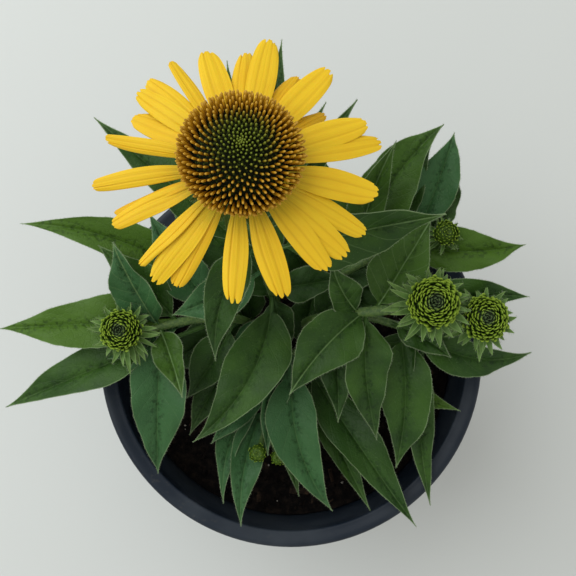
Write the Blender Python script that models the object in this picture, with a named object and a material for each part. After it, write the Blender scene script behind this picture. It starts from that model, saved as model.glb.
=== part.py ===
# A coneflower in its nursery pot: one open yellow bloom, four buds and their leaves, in potting soil.
# Metres, +Z up. The origin is the centre of the pot's flat underside. In comments +X is east and +Y is north.
import math
import random

import bmesh
import bpy
from mathutils import Matrix, Vector

MM = 0.001
UP = Vector((0, 0, 1))
GOLDEN_ANGLE = math.radians(137.508)

# The pot: a blown nursery pot with a tapered wall and a lip that turns out and down.
POT_HEIGHT = 150 * MM
RIM_RADIUS = 95 * MM
LIP_INNER_RADIUS = 89.8 * MM
BASE_RADIUS = 66 * MM
WALL = 1.5 * MM
FLOOR = 3 * MM
SKIRT_DROP = 15 * MM
POT_SIDES = 32
DRAIN_HOLES = 6
DRAIN_RADIUS = 4 * MM
DRAIN_RING = 45 * MM

# The soil fills the pot to 32 mm under the rim.
SOIL_TOP = 118 * MM
SOIL_GAP = 0.3 * MM
SOIL_LUMP = 1.3 * MM
STEM_HOLE_DEPTH = 21 * MM
STEM_HOLE_CLEARANCE = 0.35 * MM

# The open bloom. Heights on the head are measured from the cone's base plane along the head's own axis.
HEAD_CENTRE = Vector((-18.2, 60.8, 286)) * MM
HEAD_LEAN = math.radians(7)
HEAD_LEAN_COMPASS = math.radians(60)
CONE_RADIUS = 17.7 * MM
CONE_WAIST = 9 * MM
CONE_TOP = 22.5 * MM
CONE_LOWEST = -0.5
CONE_SPINES = 150
SPINE_AT_TOP = 1.8 * MM
SPINE_AT_RIM = 5.4 * MM
PEG_RADIUS = 7 * MM
RING_OUTER = 15 * MM
RING_TOP = -0.5 * MM
RING_BOTTOM = -3 * MM
PETAL_ROOT = 12.5 * MM
PETAL_THICKNESS = 0.7 * MM

LEAF_THICKNESS = 0.75 * MM
LEAF_STATIONS = 6
SMALL_LEAF_STATIONS = 5
SMALL_LEAF_WIDTH = 16.5 * MM
LEAF_FOLD = math.radians(17)
LEAF_WAVE = 0.7 * MM
LEAF_UNEVEN = 0.07
STEM_SIDES = 6
STEM_STEPS = 2

# Each stem: its radius and the share of it left at the end, and the points it runs through in millimetres, from
# inside the soil to its head.
STEMS = {
    "flower_stem": (
        2.4, 0.75,
        [(-6, 22, 98), (-6, 22, 122), (-9, 28, 165), (-15, 44, 215), (-18.2, 59.3, 262), (-18.7, 60.4, 282)],
    ),
    "twin_bud_stem": (
        2.5, 0.96,
        [(6, 14, 98), (6, 14, 122), (11, 15, 163), (28, 16, 186), (50, 18, 196), (61, 19, 203)],
    ),
    "left_bud_stem": (
        2.2, 0.85,
        [(-17, 12, 98), (-17, 12, 122), (-25, 15, 164), (-46, 14, 177), (-67, 9, 181), (-76, 8, 188)],
    ),
    "upper_bud_stem": (
        2.1, 0.75,
        [(11, 28, 98), (11, 28, 122), (26, 38, 160), (52, 50, 174), (67, 53, 177), (71, 53, 184)],
    ),
    "front_left_shoot": (
        1.9, 0.75,
        [(-10, -2, 98), (-10, -2, 122), (-11, -20, 141), (-14, -42, 149), (-16, -49, 155)],
    ),
    "front_right_shoot": (2.1, 0.75, [(5, 0, 98), (5, 0, 122), (3, 0, 150), (2, -1, 168)]),
}
SIDE_BRANCH = (1.9, 0.9, [(28, 16, 186), (40, 14, 180), (55, 10, 178), (71, 9, 184), (86, 13, 195)])
SMALL_BUD_TWIG = (1.3, 0.85, [(-13, -36, 147), (-9, -45, 150), (-6, -51, 155)])

# Each leaf: share of the way up its stem, tip in millimetres, blade width, petiole share, arch, sideways bend,
# and roll in degrees.
LEAVES = {
    "flower_stem": [
        (0.57, (-4, 126, 238), 17, 0.14, 12, 0, 0),
        (0.54, (-27, 119, 232), 15, 0.14, 10, 3, 10),
        (0.62, (27, 101, 236), 15, 0.14, 8, 0, -15),
        (0.67, (14, 98, 242), 12, 0.14, 6, 0, 0),
        (0.55, (-87, 101, 211), 20, 0.16, 14, 2, 10),
        (0.59, (66, 56, 219), 25, 0.16, 12, -2, 38),
        (0.63, (-33, -6, 205), 22, 0.1, 14, -11, -8),
        (0.5, (-54, 15, 191), 22, 0.14, 8, 4, 0),
        (0.36, (-46, -43, 172), 27, 0.12, 20, 20, 6),
        (0.28, (-33, -20, 164), 16, 0.2, 8, 2, 0),
        (0.24, (-62, 82, 163), 25, 0.25, 26, 3, 0),
        (0.2, (-28, 99, 158), 26, 0.25, 28, 0, 5),
        (0.34, (-2, -3, 162), 16, 0.14, 6, 0, 0),
        (0.37, (25, 34, 170), 17, 0.14, 8, 0, 0),
    ],
    "twin_bud_stem": [
        (0.76, (-1, -21, 184), 25, 0.05, 13, -5, 5),
        (0.77, (40, -42, 172), 24, 0.08, 16, -6, -12),
        (0.74, (18, 37, 203), 15, 0.1, 5, 4, 0),
        (0.8, (63, 58, 199), 26, 0.1, 6, 0, -16),
        (0.6, (22, -34, 170), 16, 0.15, 8, 3, 0),
        (0.82, (110, 24, 184), 19, 0.2, 8, 5, 12),
    ],
    "side_branch": [
        (0.47, (33, -25, 166), 25, 0.06, 9, 3, 0),
        (0.37, (50, -56, 163), 26, 0.12, 20, 6, 0),
        (0.56, (68, -75, 154), 14, 0.2, 20, -8, -10),
        (0.64, (115, -1, 166), 21, 0.14, 12, -5, 8),
        (0.28, (73, -4, 185), 15, 0.16, 5, 3, 0),
    ],
    "left_bud_stem": [
        (0.48, (-126, 58, 185), 20, 0.28, 20, -22, -10),
        (0.86, (-78.5, 46, 206), 21, 0.08, 5, 3, -25),
        (0.79, (-88, 47, 191), 20, 0.1, 5, -2, -10),
        (0.76, (-138, 10, 172), 25, 0.14, 16, 0, 6),
        (0.7, (-109, -6, 167), 18, 0.18, 10, 0, 12),
        (0.6, (-137, -27, 162), 21, 0.32, 24, 0, 14),
        (0.85, (-64, -59, 157), 27, 0.1, 18, 0, 0),
        (0.86, (-49, -22, 190), 14, 0.1, 8, 2, 0),
        (0.56, (-51, -23, 156), 20, 0.16, 10, 4, 0),
        (0.42, (-50, -41, 149), 19, 0.2, 14, 0, 0),
        (0.62, (-66, 63, 186), 22, 0.15, 10, 4, 0),
        (0.36, (-64, 43, 160), 22, 0.18, 10, 0, 0),
        (0.3, (-39, 2, 150), 15, 0.16, 6, 0, 0),
    ],
    "upper_bud_stem": [
        (0.6, (46, 90, 212), 17, 0.15, 8, 6, 0),
        (0.6, (69, 101, 200), 28, 0.2, 13, 12, -14),
        (0.68, (65, 94, 188), 16, 0.2, 8, 0, 0),
        (0.86, (77, 102, 183), 21, 0.16, 12, -1, 0),
        (0.9, (79, 88, 175), 15, 0.16, 6, -3, 10),
        (0.8, (110, 49, 180), 21, 0.12, 11, -8, 10),
        (0.36, (12, 102, 160), 25, 0.25, 28, 0, 0),
        (0.4, (46, 84, 157), 23, 0.22, 20, 0, 0),
        (0.28, (57, 22, 158), 20, 0.18, 8, 0, 0),
    ],
    "front_left_shoot": [
        (0.66, (-24, -84, 157), 17, 0.12, 16, -9, 0),
        (0.5, (-33, -74, 150), 14, 0.12, 14, -15, 10),
        (0.46, (-39, -45, 154), 16, 0.16, 12, 0, 0),
        (0.42, (4, -72, 139), 14, 0.18, 12, 0, 0),
    ],
    "front_right_shoot": [
        (0.86, (20, -77, 155), 24, 0.14, 18, -18, 0),
        (0.7, (60, -84, 157), 22, 0.16, 12, -2, -8),
        (0.52, (39, -78, 147), 15, 0.2, 12, -3, 0),
        (0.46, (29, -63, 140), 14, 0.2, 10, 0, 0),
        (0.92, (-11, -50, 163), 12, 0.1, 8, -9, 14),
        (0.72, (82, -29, 158), 20, 0.2, 10, 0, 0),
        (0.6, (60, -6, 156), 20, 0.14, 10, 0, 0),
    ],
}

# Each petal of the bloom: compass degrees, reach from the head's axis, width, and tip height on the head.
PETALS = [
    (78, 53.4, 10.8, -7), (88.8, 48.4, 8.6, -9.5), (105.5, 49, 10.6, -7), (121, 49.3, 5.8, -6),
    (134.2, 49.5, 8.8, -8), (141.4, 48.5, 8.6, -6.5), (151.5, 44.7, 10, -9), (166.5, 50.6, 5.8, -8),
    (186, 53.3, 6.8, -7), (198, 47.4, 5.8, -11), (203.7, 49.7, 7.6, -8), (227, 49.4, 8.4, -7),
    (233.5, 50.9, 9.2, -8.5), (241, 47.9, 8.6, -10), (267.4, 48.7, 8.8, -7), (288.8, 48.7, 10, -8),
    (311.2, 47.9, 9.4, -7), (321.8, 49.4, 10.2, -8.5), (335, 50.4, 8.6, -10.5), (351.8, 50.7, 11.4, -7),
    (14, 54, 9.2, -9), (24.4, 50.8, 10.6, -7), (51.6, 52.5, 10.8, -7), (61.8, 44.4, 8.6, -10),
    (39, 40, 6, -11),
]

# Each bud: the stem it ends, its centre in millimetres, the radius and height of its florets, how many florets
# and bracts it has, and how far its bracts reach.
BUDS = {
    "near_bud_florets": ("twin_bud_stem", (61.5, 19, 208), 10.6, 8.5, 54, 13, 15.5),
    "far_bud_florets": ("twin_bud_stem", (86, 13, 197.5), 9.8, 8, 48, 12, 14.5),
    "left_bud_florets": ("left_bud_stem", (-76.5, 8, 192.5), 9.2, 7.5, 48, 14, 15),
    "upper_bud_florets": ("upper_bud_stem", (71, 53, 188), 5.4, 5, 26, 8, 8.5),
}
SMALL_BUDS = [((-16, -49, 156), 4.2), ((-6, -51, 156), 3.6)]


def compass(degrees):
    """The level unit vector at so many degrees from east, towards north."""
    return Vector((math.cos(math.radians(degrees)), math.sin(math.radians(degrees)), 0))


def make_material(name, colour, roughness):
    material = bpy.data.materials.new(name)
    material.use_nodes = True
    shader = material.node_tree.nodes["Principled BSDF"]
    shader.inputs["Base Color"].default_value = (*colour, 1)
    shader.inputs["Roughness"].default_value = roughness
    shader.inputs["Metallic"].default_value = 0
    return material


def make_object(name, mesh, material=None):
    piece = bpy.data.objects.new(name, mesh)
    bpy.context.scene.collection.objects.link(piece)
    if material:
        mesh.materials.clear()
        mesh.materials.append(material)
    return piece


def mesh_from(name, points, faces):
    mesh = bpy.data.meshes.new(name)
    mesh.from_pydata([tuple(point) for point in points], [], faces)
    return mesh


def lathe(name, profile, sides):
    """Turn a closed profile of (radius, height) about the Z axis. The profile runs up the outside."""
    points = []
    rings = []
    for radius, height in profile:
        if radius < 1e-9:
            rings.append([len(points)] * sides)
            points.append((0, 0, height))
            continue
        rings.append(list(range(len(points), len(points) + sides)))
        for step in range(sides):
            turn = math.tau * step / sides
            points.append((radius * math.cos(turn), radius * math.sin(turn), height))
    faces = []
    for low, high in zip(rings, rings[1:] + rings[:1]):
        for step in range(sides):
            after = (step + 1) % sides
            corners = list(dict.fromkeys([low[step], low[after], high[after], high[step]]))
            if len(corners) > 2:
                faces.append(corners)
    return mesh_from(name, points, faces)


def curve_through(points, steps, lead_in):
    """A smooth path through every point, with so many steps from one to the next. It arrives from lead_in."""
    ends = [lead_in] + points + [points[-1] * 2 - points[-2]]
    path = []
    for before, start, stop, after in zip(ends, ends[1:], ends[2:], ends[3:]):
        for step in range(steps):
            t = step / steps
            path.append(
                0.5 * (
                    2 * start
                    + (stop - before) * t
                    + (2 * before - 5 * start + 4 * stop - after) * t * t
                    + (3 * start - before - 3 * stop + after) * t * t * t
                )
            )
    path.append(points[-1])
    return path


def tangents(path):
    """The direction of travel at each point of a path."""
    last = len(path) - 1
    return [(path[min(i + 1, last)] - path[max(i - 1, 0)]).normalized() for i in range(last + 1)]


def tube(name, path, radii, sides=STEM_SIDES):
    """A closed round stem along a path."""
    points = []
    side = Vector((1, 0, 0))
    for centre, along, radius in zip(path, tangents(path), radii):
        side = (side - along * side.dot(along)).normalized()
        across = along.cross(side)
        for step in range(sides):
            turn = math.tau * step / sides
            points.append(centre + (side * math.cos(turn) + across * math.sin(turn)) * radius)
    faces = [list(range(sides))[::-1], list(range(len(points) - sides, len(points)))]
    for ring in range(len(path) - 1):
        for step in range(sides):
            low = ring * sides + step
            low_next = ring * sides + (step + 1) % sides
            faces.append([low, low_next, low_next + sides, low + sides])
    return mesh_from(name, points, faces)


def blade(name, path, rows, side_hint, thickness):
    """A thin closed blade along a path. Each row lists sideways, upward and forward offsets, left to right."""
    top = []
    bottom = []
    for centre, along, row in zip(path, tangents(path), rows):
        side = (side_hint - along * side_hint.dot(along)).normalized()
        normal = along.cross(side)
        for sideways, upward, forward in row:
            point = centre - side * sideways + normal * upward + along * forward
            top.append(point)
            bottom.append(point - normal * thickness)
    count = len(top)
    width = len(rows[0])
    faces = []
    for row in range(len(rows) - 1):
        for column in range(width - 1):
            a = row * width + column
            b, c, d = a + 1, a + width + 1, a + width
            triangles = [(a, b, c), (a, c, d)] if column < (width - 1) / 2 else [(a, b, d), (b, c, d)]
            faces += triangles
            faces += [(r + count, q + count, p + count) for p, q, r in triangles]
        left = row * width
        right = left + width - 1
        faces += [(left, left + width, left + count), (left + width, left + width + count, left + count)]
        faces.append((right, right + count, right + width))
        faces.append((right + width, right + count, right + width + count))
    for row in (0, len(rows) - 1):
        for column in range(width - 1):
            a = row * width + column
            corners = [a, a + 1, a + 1 + count, a + count]
            faces.append(corners[::-1] if row == 0 else corners)
    mesh = mesh_from(name, top + bottom, faces)
    working = bmesh.new()
    working.from_mesh(mesh)
    bmesh.ops.recalc_face_normals(working, faces=working.faces)
    working.to_mesh(mesh)
    working.free()
    return mesh


def fuse(name, meshes, material):
    """Join closed meshes into the one closed body of a node."""
    piece = make_object(name, meshes[0], material)
    others = bpy.data.collections.new(name + "_parts")
    bpy.context.scene.collection.children.link(others)
    for mesh in meshes[1:]:
        others.objects.link(bpy.data.objects.new(mesh.name, mesh))
    union = piece.modifiers.new("union", "BOOLEAN")
    union.operation = "UNION"
    union.operand_type = "COLLECTION"
    union.collection = others
    union.solver = "EXACT"
    shape = bpy.context.evaluated_depsgraph_get()
    joined = bpy.data.meshes.new_from_object(piece.evaluated_get(shape))
    piece.modifiers.clear()
    piece.data = joined
    joined.materials.clear()
    joined.materials.append(material)
    for part in list(others.objects):
        bpy.data.objects.remove(part)
    bpy.data.collections.remove(others)
    return piece


def leaf_width_at(share):
    """A leaf's half width as a share of its greatest, from the blade's foot (0) to its long point (1)."""
    rise = min(1, share / 0.3)
    fall = max(0, (share - 0.3) / 0.7)
    return (0.14 + 0.86 * math.sin(rise * math.pi / 2) ** 0.85) * math.cos(fall * math.pi / 2) ** 1.2


def leaf(name, root, tip, width, petiole, arch, bend, roll):
    """One leaf: a petiole and a pointed blade folded along its midrib, arched from its root to its tip."""
    level = Vector((tip.x - root.x, tip.y - root.y, 0)).normalized()
    left = UP.cross(level)
    middle = (root + tip) / 2 + UP * arch + left * bend
    path = []
    rows = []
    stations = SMALL_LEAF_STATIONS if width < SMALL_LEAF_WIDTH else LEAF_STATIONS
    phase = (tip.x * 0.37 + tip.y * 0.11) / MM
    for step in range(stations):
        t = step / (stations - 1)
        path.append(root * (1 - t) ** 2 + middle * 2 * t * (1 - t) + tip * t * t)
        share = (t - petiole) / (1 - petiole)
        half = width / 2 * leaf_width_at(share) if share > 0 else 0.9 * MM
        half = max(half, 0.5 * MM)
        right_half = half * (1 + LEAF_UNEVEN * math.sin(7 * t + phase))
        left_half = half * (1 + LEAF_UNEVEN * math.sin(8 * t + 2 + phase))
        lift = half * math.tan(LEAF_FOLD)
        wave = LEAF_WAVE * math.sin(step * 2.1 + width * 900) * min(1, half / (6 * MM))
        rows.append([(-left_half, lift + wave, 0), (0, 0, 0), (right_half, lift - wave, 0)])
    side = Matrix.Rotation(math.radians(roll), 3, (tip - root).normalized()) @ left
    return blade(name, path, rows, side, LEAF_THICKNESS)


def along_path(path, share):
    """The point at a share of a path's length."""
    lengths = [(after - before).length for before, after in zip(path, path[1:])]
    left = share * sum(lengths)
    for length, start, stop in zip(lengths, path, path[1:]):
        if left <= length:
            return start.lerp(stop, left / length)
        left -= length
    return path[-1].copy()


def stem_parts(name, spec, leaves):
    """A stem's tube and its leaves, as closed meshes to be fused."""
    radius, taper, points = spec
    route = [Vector(point) * MM for point in points]
    if route[0].z < SOIL_TOP:
        path = [route[0]] + curve_through(route[1:], STEM_STEPS, route[0])
    else:
        path = curve_through(route, STEM_STEPS, route[0] * 2 - route[1])
    last = len(path) - 1
    radii = [radius * MM * (1 - (1 - taper) * i / last) for i in range(last + 1)]
    meshes = [tube(name, path, radii)]
    for number, (share, tip, width, petiole, arch, bend, roll) in enumerate(leaves):
        root = along_path(path, share)
        place = Vector(tip) * MM
        label = f"{name}_leaf_{number}"
        meshes.append(leaf(label, root, place, width * MM, petiole, arch * MM, bend * MM, roll))
    return meshes


def spiked_dome(name, radius, heights, lowest, count, spines, foot, ring=14):
    """A dome set with points in a golden-angle spiral, closed below by a peg down to the foot. The heights are
    those of its widest ring and its top. On that scale 1 is the top, 0 the widest ring and lowest the last seat."""
    waist, top = heights
    spine_top, spine_rim = spines
    peaks = []
    for number in range(count):
        level = 1 - (number + 0.5) / count * (1 - lowest)
        flat = radius * math.sqrt(1 - level * level)
        turn = number * GOLDEN_ANGLE
        peaks.append(Vector((flat * math.cos(turn), flat * math.sin(turn), waist + (top - waist) * level)))
    skirt = radius * (0.93 if lowest > 0 else 0.8)
    base = [compass(360 * i / ring) * skirt for i in range(ring)]
    working = bmesh.new()
    for point in peaks + base:
        working.verts.new(point)
    bmesh.ops.convex_hull(working, input=list(working.verts))
    loose = [vert for vert in working.verts if not vert.link_faces]
    bmesh.ops.delete(working, geom=loose, context="VERTS")
    under = [face for face in working.faces if max(vert.co.z for vert in face.verts) < 1e-7]
    sides = [face for face in working.faces if face not in under]
    seats = {vert: vert.co.copy() for vert in working.verts if vert.co.z > 1e-7}
    valleys = bmesh.ops.poke(working, faces=sides)["verts"]
    for vert in valleys:
        inward = 0.12 if min(other.co.z for edge in vert.link_edges for other in edge.verts) > 1e-7 else 0.04
        vert.co -= Vector((vert.co.x, vert.co.y, vert.co.z * 0.7)) * inward
    for vert, seat in seats.items():
        level = max(0, min(1, (seat.z - waist) / (top - waist)))
        outward = Vector((seat.x / radius, seat.y / radius, 0.28 + 0.9 * level)).normalized()
        vert.co = seat + outward * (spine_rim + (spine_top - spine_rim) * level ** 1.3)
    floor = bmesh.ops.dissolve_faces(working, faces=[face for face in under if face.is_valid])["region"]
    bmesh.ops.inset_region(working, faces=floor, thickness=skirt - foot[0], use_even_offset=True)
    bmesh.ops.inset_region(working, faces=floor, thickness=0.3 * MM, depth=-foot[1], use_even_offset=True)
    bmesh.ops.triangulate(working, faces=working.faces)
    bmesh.ops.recalc_face_normals(working, faces=working.faces)
    mesh = bpy.data.meshes.new(name)
    working.to_mesh(mesh)
    working.free()
    return mesh


def ray_petal(name, degrees, reach, width, drop):
    """One ray petal, on the head's own axes: two lengthwise grooves and a notched tip, drooping outward."""
    out = compass(degrees)
    start = out * PETAL_ROOT + UP * (-1.6 * MM)
    middle = out * (reach * 0.58) + UP * (-0.4 * MM + drop * 0.12)
    tip = out * reach + UP * drop
    shares = (0, 0.34, 0.7, 1)
    swell = (0.42, 0.88, 1, 0.66)
    teeth = (-2.4 * MM, 0, -1.2 * MM, 0, -2.4 * MM)
    path = [start * (1 - t) ** 2 + middle * 2 * t * (1 - t) + tip * t * t for t in shares]
    rows = []
    for share, part in zip(shares, swell):
        half = width / 2 * part
        groove = 0.35 * MM * min(1, share * 3)
        heights = (-groove * 2, -groove, 0.0, -groove, -groove * 2)
        spots = (-1, -0.52, 0, 0.52, 1)
        forward = teeth if share == 1 else (0,) * 5
        rows.append([(spot * half, high, ahead) for spot, high, ahead in zip(spots, heights, forward)])
    return blade(name, path, rows, UP.cross(out), PETAL_THICKNESS)


def bract(name, base, out, reach, width, rise):
    """One narrow pointed bract of an involucre."""
    start = base + out * reach[0]
    tip = base + out * reach[1] + UP * rise
    middle = (start + tip) / 2 - UP * (1.0 * MM) + out * (1.0 * MM)
    path = [start * (1 - t) ** 2 + middle * 2 * t * (1 - t) + tip * t * t for t in (0, 0.5, 1)]
    rows = [[(-width * part / 2, 0, 0), (width * part / 2, 0, 0)] for part in (0.9, 1, 0.24)]
    return blade(name, path, rows, UP.cross(out), 0.65 * MM)


def disc(name, centre, radius, top, bottom, foot_radius, sides=14):
    """The green receptacle under a head: a shallow turned cup from its flat top down to the stem."""
    profile = [
        (0, bottom),
        (foot_radius, bottom),
        (radius * 0.85, (top + bottom * 2) / 3),
        (radius, top - 0.3 * MM),
        (radius * 0.97, top),
        (0, top),
    ]
    mesh = lathe(name, profile, sides)
    mesh.transform(Matrix.Translation(centre))
    return mesh


def build_pot(material):
    inner_foot = BASE_RADIUS - WALL - 0.5 * MM
    skirt_foot = POT_HEIGHT - SKIRT_DROP
    wall_outer = LIP_INNER_RADIUS + WALL
    profile = [
        (0, 0),
        (BASE_RADIUS - 1 * MM, 0),
        (BASE_RADIUS, 1 * MM),
        (wall_outer, POT_HEIGHT - 4 * MM),
        (RIM_RADIUS - 1.4 * MM, POT_HEIGHT - 4 * MM),
        (RIM_RADIUS - 1.4 * MM, skirt_foot),
        (RIM_RADIUS, skirt_foot),
        (RIM_RADIUS, POT_HEIGHT - 1.6 * MM),
        (RIM_RADIUS - 1.8 * MM, POT_HEIGHT),
        (LIP_INNER_RADIUS + 1 * MM, POT_HEIGHT - 0.4 * MM),
        (LIP_INNER_RADIUS, POT_HEIGHT - 1.6 * MM),
        (inner_foot, FLOOR),
        (0, FLOOR),
    ]
    pot = make_object("nursery_pot", lathe("nursery_pot", profile, POT_SIDES), material)
    cutters = bpy.data.collections.new("drain_cutters")
    bpy.context.scene.collection.children.link(cutters)
    for number in range(DRAIN_HOLES):
        turn = math.tau * (number + 0.5) / DRAIN_HOLES
        bore = [(0, -1 * MM), (DRAIN_RADIUS, -1 * MM), (DRAIN_RADIUS, 5 * MM), (0, 5 * MM)]
        hole = lathe("drain", bore, 10)
        hole.transform(Matrix.Translation((DRAIN_RING * math.cos(turn), DRAIN_RING * math.sin(turn), 0)))
        cutters.objects.link(bpy.data.objects.new("drain", hole))
    cut_and_apply(pot, cutters)


def cut_and_apply(piece, cutters):
    """Cut a collection's closed meshes out of a piece, and remove them."""
    cut = piece.modifiers.new("cut", "BOOLEAN")
    cut.operation = "DIFFERENCE"
    cut.operand_type = "COLLECTION"
    cut.collection = cutters
    cut.solver = "EXACT"
    material = piece.data.materials[0]
    shape = bpy.context.evaluated_depsgraph_get()
    result = bpy.data.meshes.new_from_object(piece.evaluated_get(shape))
    piece.modifiers.clear()
    piece.data = result
    result.materials.clear()
    result.materials.append(material)
    for cutter in list(cutters.objects):
        bpy.data.objects.remove(cutter)
    bpy.data.collections.remove(cutters)


def build_soil(material):
    """The soil: a plug that fits the tapered wall, with a lumpy top and a plain hole round each stem."""
    slope = (LIP_INNER_RADIUS - BASE_RADIUS + WALL + 0.5 * MM) / (POT_HEIGHT - 1.6 * MM - FLOOR)
    foot = BASE_RADIUS - WALL - 0.5 * MM - SOIL_GAP * 2
    top_radius = foot + slope * (SOIL_TOP - FLOOR)
    sides = POT_SIDES
    lumps = random.Random(7)
    shares = (0.22, 0.48, 0.72, 0.9)
    points = [(0, 0, FLOOR + SOIL_GAP)]
    rings = []
    for radius, height in ((foot, FLOOR + SOIL_GAP), (top_radius, SOIL_TOP)):
        rings.append(len(points))
        points += [tuple(compass(360 * i / sides) * radius + UP * height) for i in range(sides)]
    for share in shares[::-1]:
        rings.append(len(points))
        for i in range(sides):
            height = SOIL_TOP + lumps.uniform(-SOIL_LUMP, SOIL_LUMP)
            points.append(tuple(compass(360 * i / sides) * top_radius * share + UP * height))
    points.append((0, 0, SOIL_TOP))
    faces = []
    for i in range(sides):
        after = (i + 1) % sides
        faces.append((0, rings[0] + after, rings[0] + i))
        faces.append((len(points) - 1, rings[-1] + i, rings[-1] + after))
        for low, high in zip(rings, rings[1:]):
            faces.append((low + i, low + after, high + after))
            faces.append((low + i, high + after, high + i))
    soil = make_object("potting_soil", mesh_from("potting_soil", points, faces), material)
    cutters = bpy.data.collections.new("stem_holes")
    bpy.context.scene.collection.children.link(cutters)
    for radius, _, route in STEMS.values():
        hole_radius = radius * MM + STEM_HOLE_CLEARANCE
        bottom = SOIL_TOP - STEM_HOLE_DEPTH
        top = SOIL_TOP + 6 * MM
        hole = lathe("stem_hole", [(0, bottom), (hole_radius, bottom), (hole_radius, top), (0, top)], 10)
        hole.transform(Matrix.Translation((route[0][0] * MM, route[0][1] * MM, 0)))
        cutters.objects.link(bpy.data.objects.new("stem_hole", hole))
    cut_and_apply(soil, cutters)


def build_bloom(cone_material, petal_material):
    lean_axis = UP.cross(Vector((math.cos(HEAD_LEAN_COMPASS), math.sin(HEAD_LEAN_COMPASS), 0)))
    pose = Matrix.Translation(HEAD_CENTRE) @ Matrix.Rotation(HEAD_LEAN, 4, lean_axis)
    heights = (CONE_WAIST, CONE_TOP)
    spines = (SPINE_AT_TOP, SPINE_AT_RIM)
    foot = (PEG_RADIUS, RING_BOTTOM)
    cone = spiked_dome("flower_cone", CONE_RADIUS, heights, CONE_LOWEST, CONE_SPINES, spines, foot, 22)
    cone.transform(pose)
    make_object("flower_cone", cone, cone_material)
    hole = PEG_RADIUS + 0.4 * MM
    section = [(hole, RING_BOTTOM), (RING_OUTER, RING_BOTTOM), (RING_OUTER, RING_TOP), (hole, RING_TOP)]
    ring = lathe("ring", section, 24)
    meshes = [ring]
    for number, (degrees, reach, width, drop) in enumerate(PETALS):
        meshes.append(ray_petal(f"petal_{number}", degrees, reach * MM, width * MM, drop * MM))
    petals = fuse("flower_ray_petals", meshes, petal_material)
    petals.data.transform(pose)
    cup = disc("receptacle", Vector((0, 0, 0)), 12.5 * MM, RING_BOTTOM - 0.3 * MM, -9 * MM, 3 * MM)
    involucre = [cup]
    for number in range(16):
        out = compass(number * 360 / 16 + 4)
        droop = (-4.5 - 2 * (number % 2)) * MM
        involucre.append(
            bract(f"involucre_{number}", UP * (-5.2 * MM), out, (8 * MM, 21 * MM), 3.6 * MM, droop)
        )
    for mesh in involucre:
        mesh.transform(pose)
    return involucre


def build_bud(name, spec, material):
    """A bud's florets as a node of their own. Returns its green cup and bracts, which belong to the stem."""
    _, centre, radius, height, count, bracts, reach = spec
    place = Vector(centre) * MM
    spines = (0.7 * MM, radius * 0.15 * MM)
    foot = (radius * 0.35 * MM, -1.2 * MM)
    dome = spiked_dome(name, radius * 0.9 * MM, (0, height * MM), 0.06, count, spines, foot)
    dome.transform(Matrix.Translation(place))
    make_object(name, dome, material)
    top = -1.5 * MM
    meshes = [disc(name + "_cup", place, radius * 0.72 * MM, top, -5.2 * MM, 2.2 * MM, 10)]
    for number in range(bracts):
        out = compass(number * 137.5 + 20)
        length = reach * (0.86 + 0.14 * (number % 3) / 2) * MM
        rise = (1.6 - 3.4 * (number % 2)) * MM
        base = place + UP * (-3.1 * MM)
        span = (radius * 0.45 * MM, length)
        meshes.append(bract(f"{name}_bract_{number}", base, out, span, radius * 0.2 * MM, rise))
    return meshes


def small_bud(name, centre, radius):
    """A young bud still closed: a knob set round with short points."""
    place = Vector(centre) * MM
    heights = (0, radius * 0.9 * MM)
    spines = (0.5 * MM, 0.9 * MM)
    foot = (radius * 0.4 * MM, -1.5 * MM)
    mesh = spiked_dome(name, radius * MM, heights, 0.06, 18, spines, foot)
    mesh.transform(Matrix.Translation(place))
    return mesh


for old in list(bpy.data.objects):
    bpy.data.objects.remove(old)

pot_plastic = make_material("pot_plastic", (0.018, 0.026, 0.036), 0.42)
soil_earth = make_material("soil_earth", (0.02, 0.014, 0.01), 0.95)
leaf_green = make_material("leaf_green", (0.045, 0.12, 0.035), 0.6)
petal_yellow = make_material("petal_yellow", (0.85, 0.5, 0.02), 0.5)
cone_bronze = make_material("cone_bronze", (0.3, 0.14, 0.02), 0.55)
floret_green = make_material("floret_green", (0.16, 0.27, 0.03), 0.6)

build_pot(pot_plastic)
build_soil(soil_earth)
parts = {name: stem_parts(name, spec, LEAVES[name]) for name, spec in STEMS.items()}
parts["twin_bud_stem"] += stem_parts("side_branch", SIDE_BRANCH, LEAVES["side_branch"])
parts["front_left_shoot"] += stem_parts("small_bud_twig", SMALL_BUD_TWIG, [])
parts["flower_stem"] += build_bloom(cone_bronze, petal_yellow)
for bud_name, bud_spec in BUDS.items():
    parts[bud_spec[0]] += build_bud(bud_name, bud_spec, floret_green)
for number, (bud_centre, bud_radius) in enumerate(SMALL_BUDS):
    parts["front_left_shoot"].append(small_bud(f"small_bud_{number}", bud_centre, bud_radius))
for name, meshes in parts.items():
    fuse(name, meshes, leaf_green)

for piece in bpy.context.scene.objects:
    piece.data.shade_smooth()
    piece.data.set_sharp_from_angle(angle=math.radians(35))
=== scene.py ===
# A yellow coneflower in its nursery pot, in metres, +Z up, with the pot's underside centred at the origin.
import math
import random

import bpy
from mathutils import Matrix, Vector, noise


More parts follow.
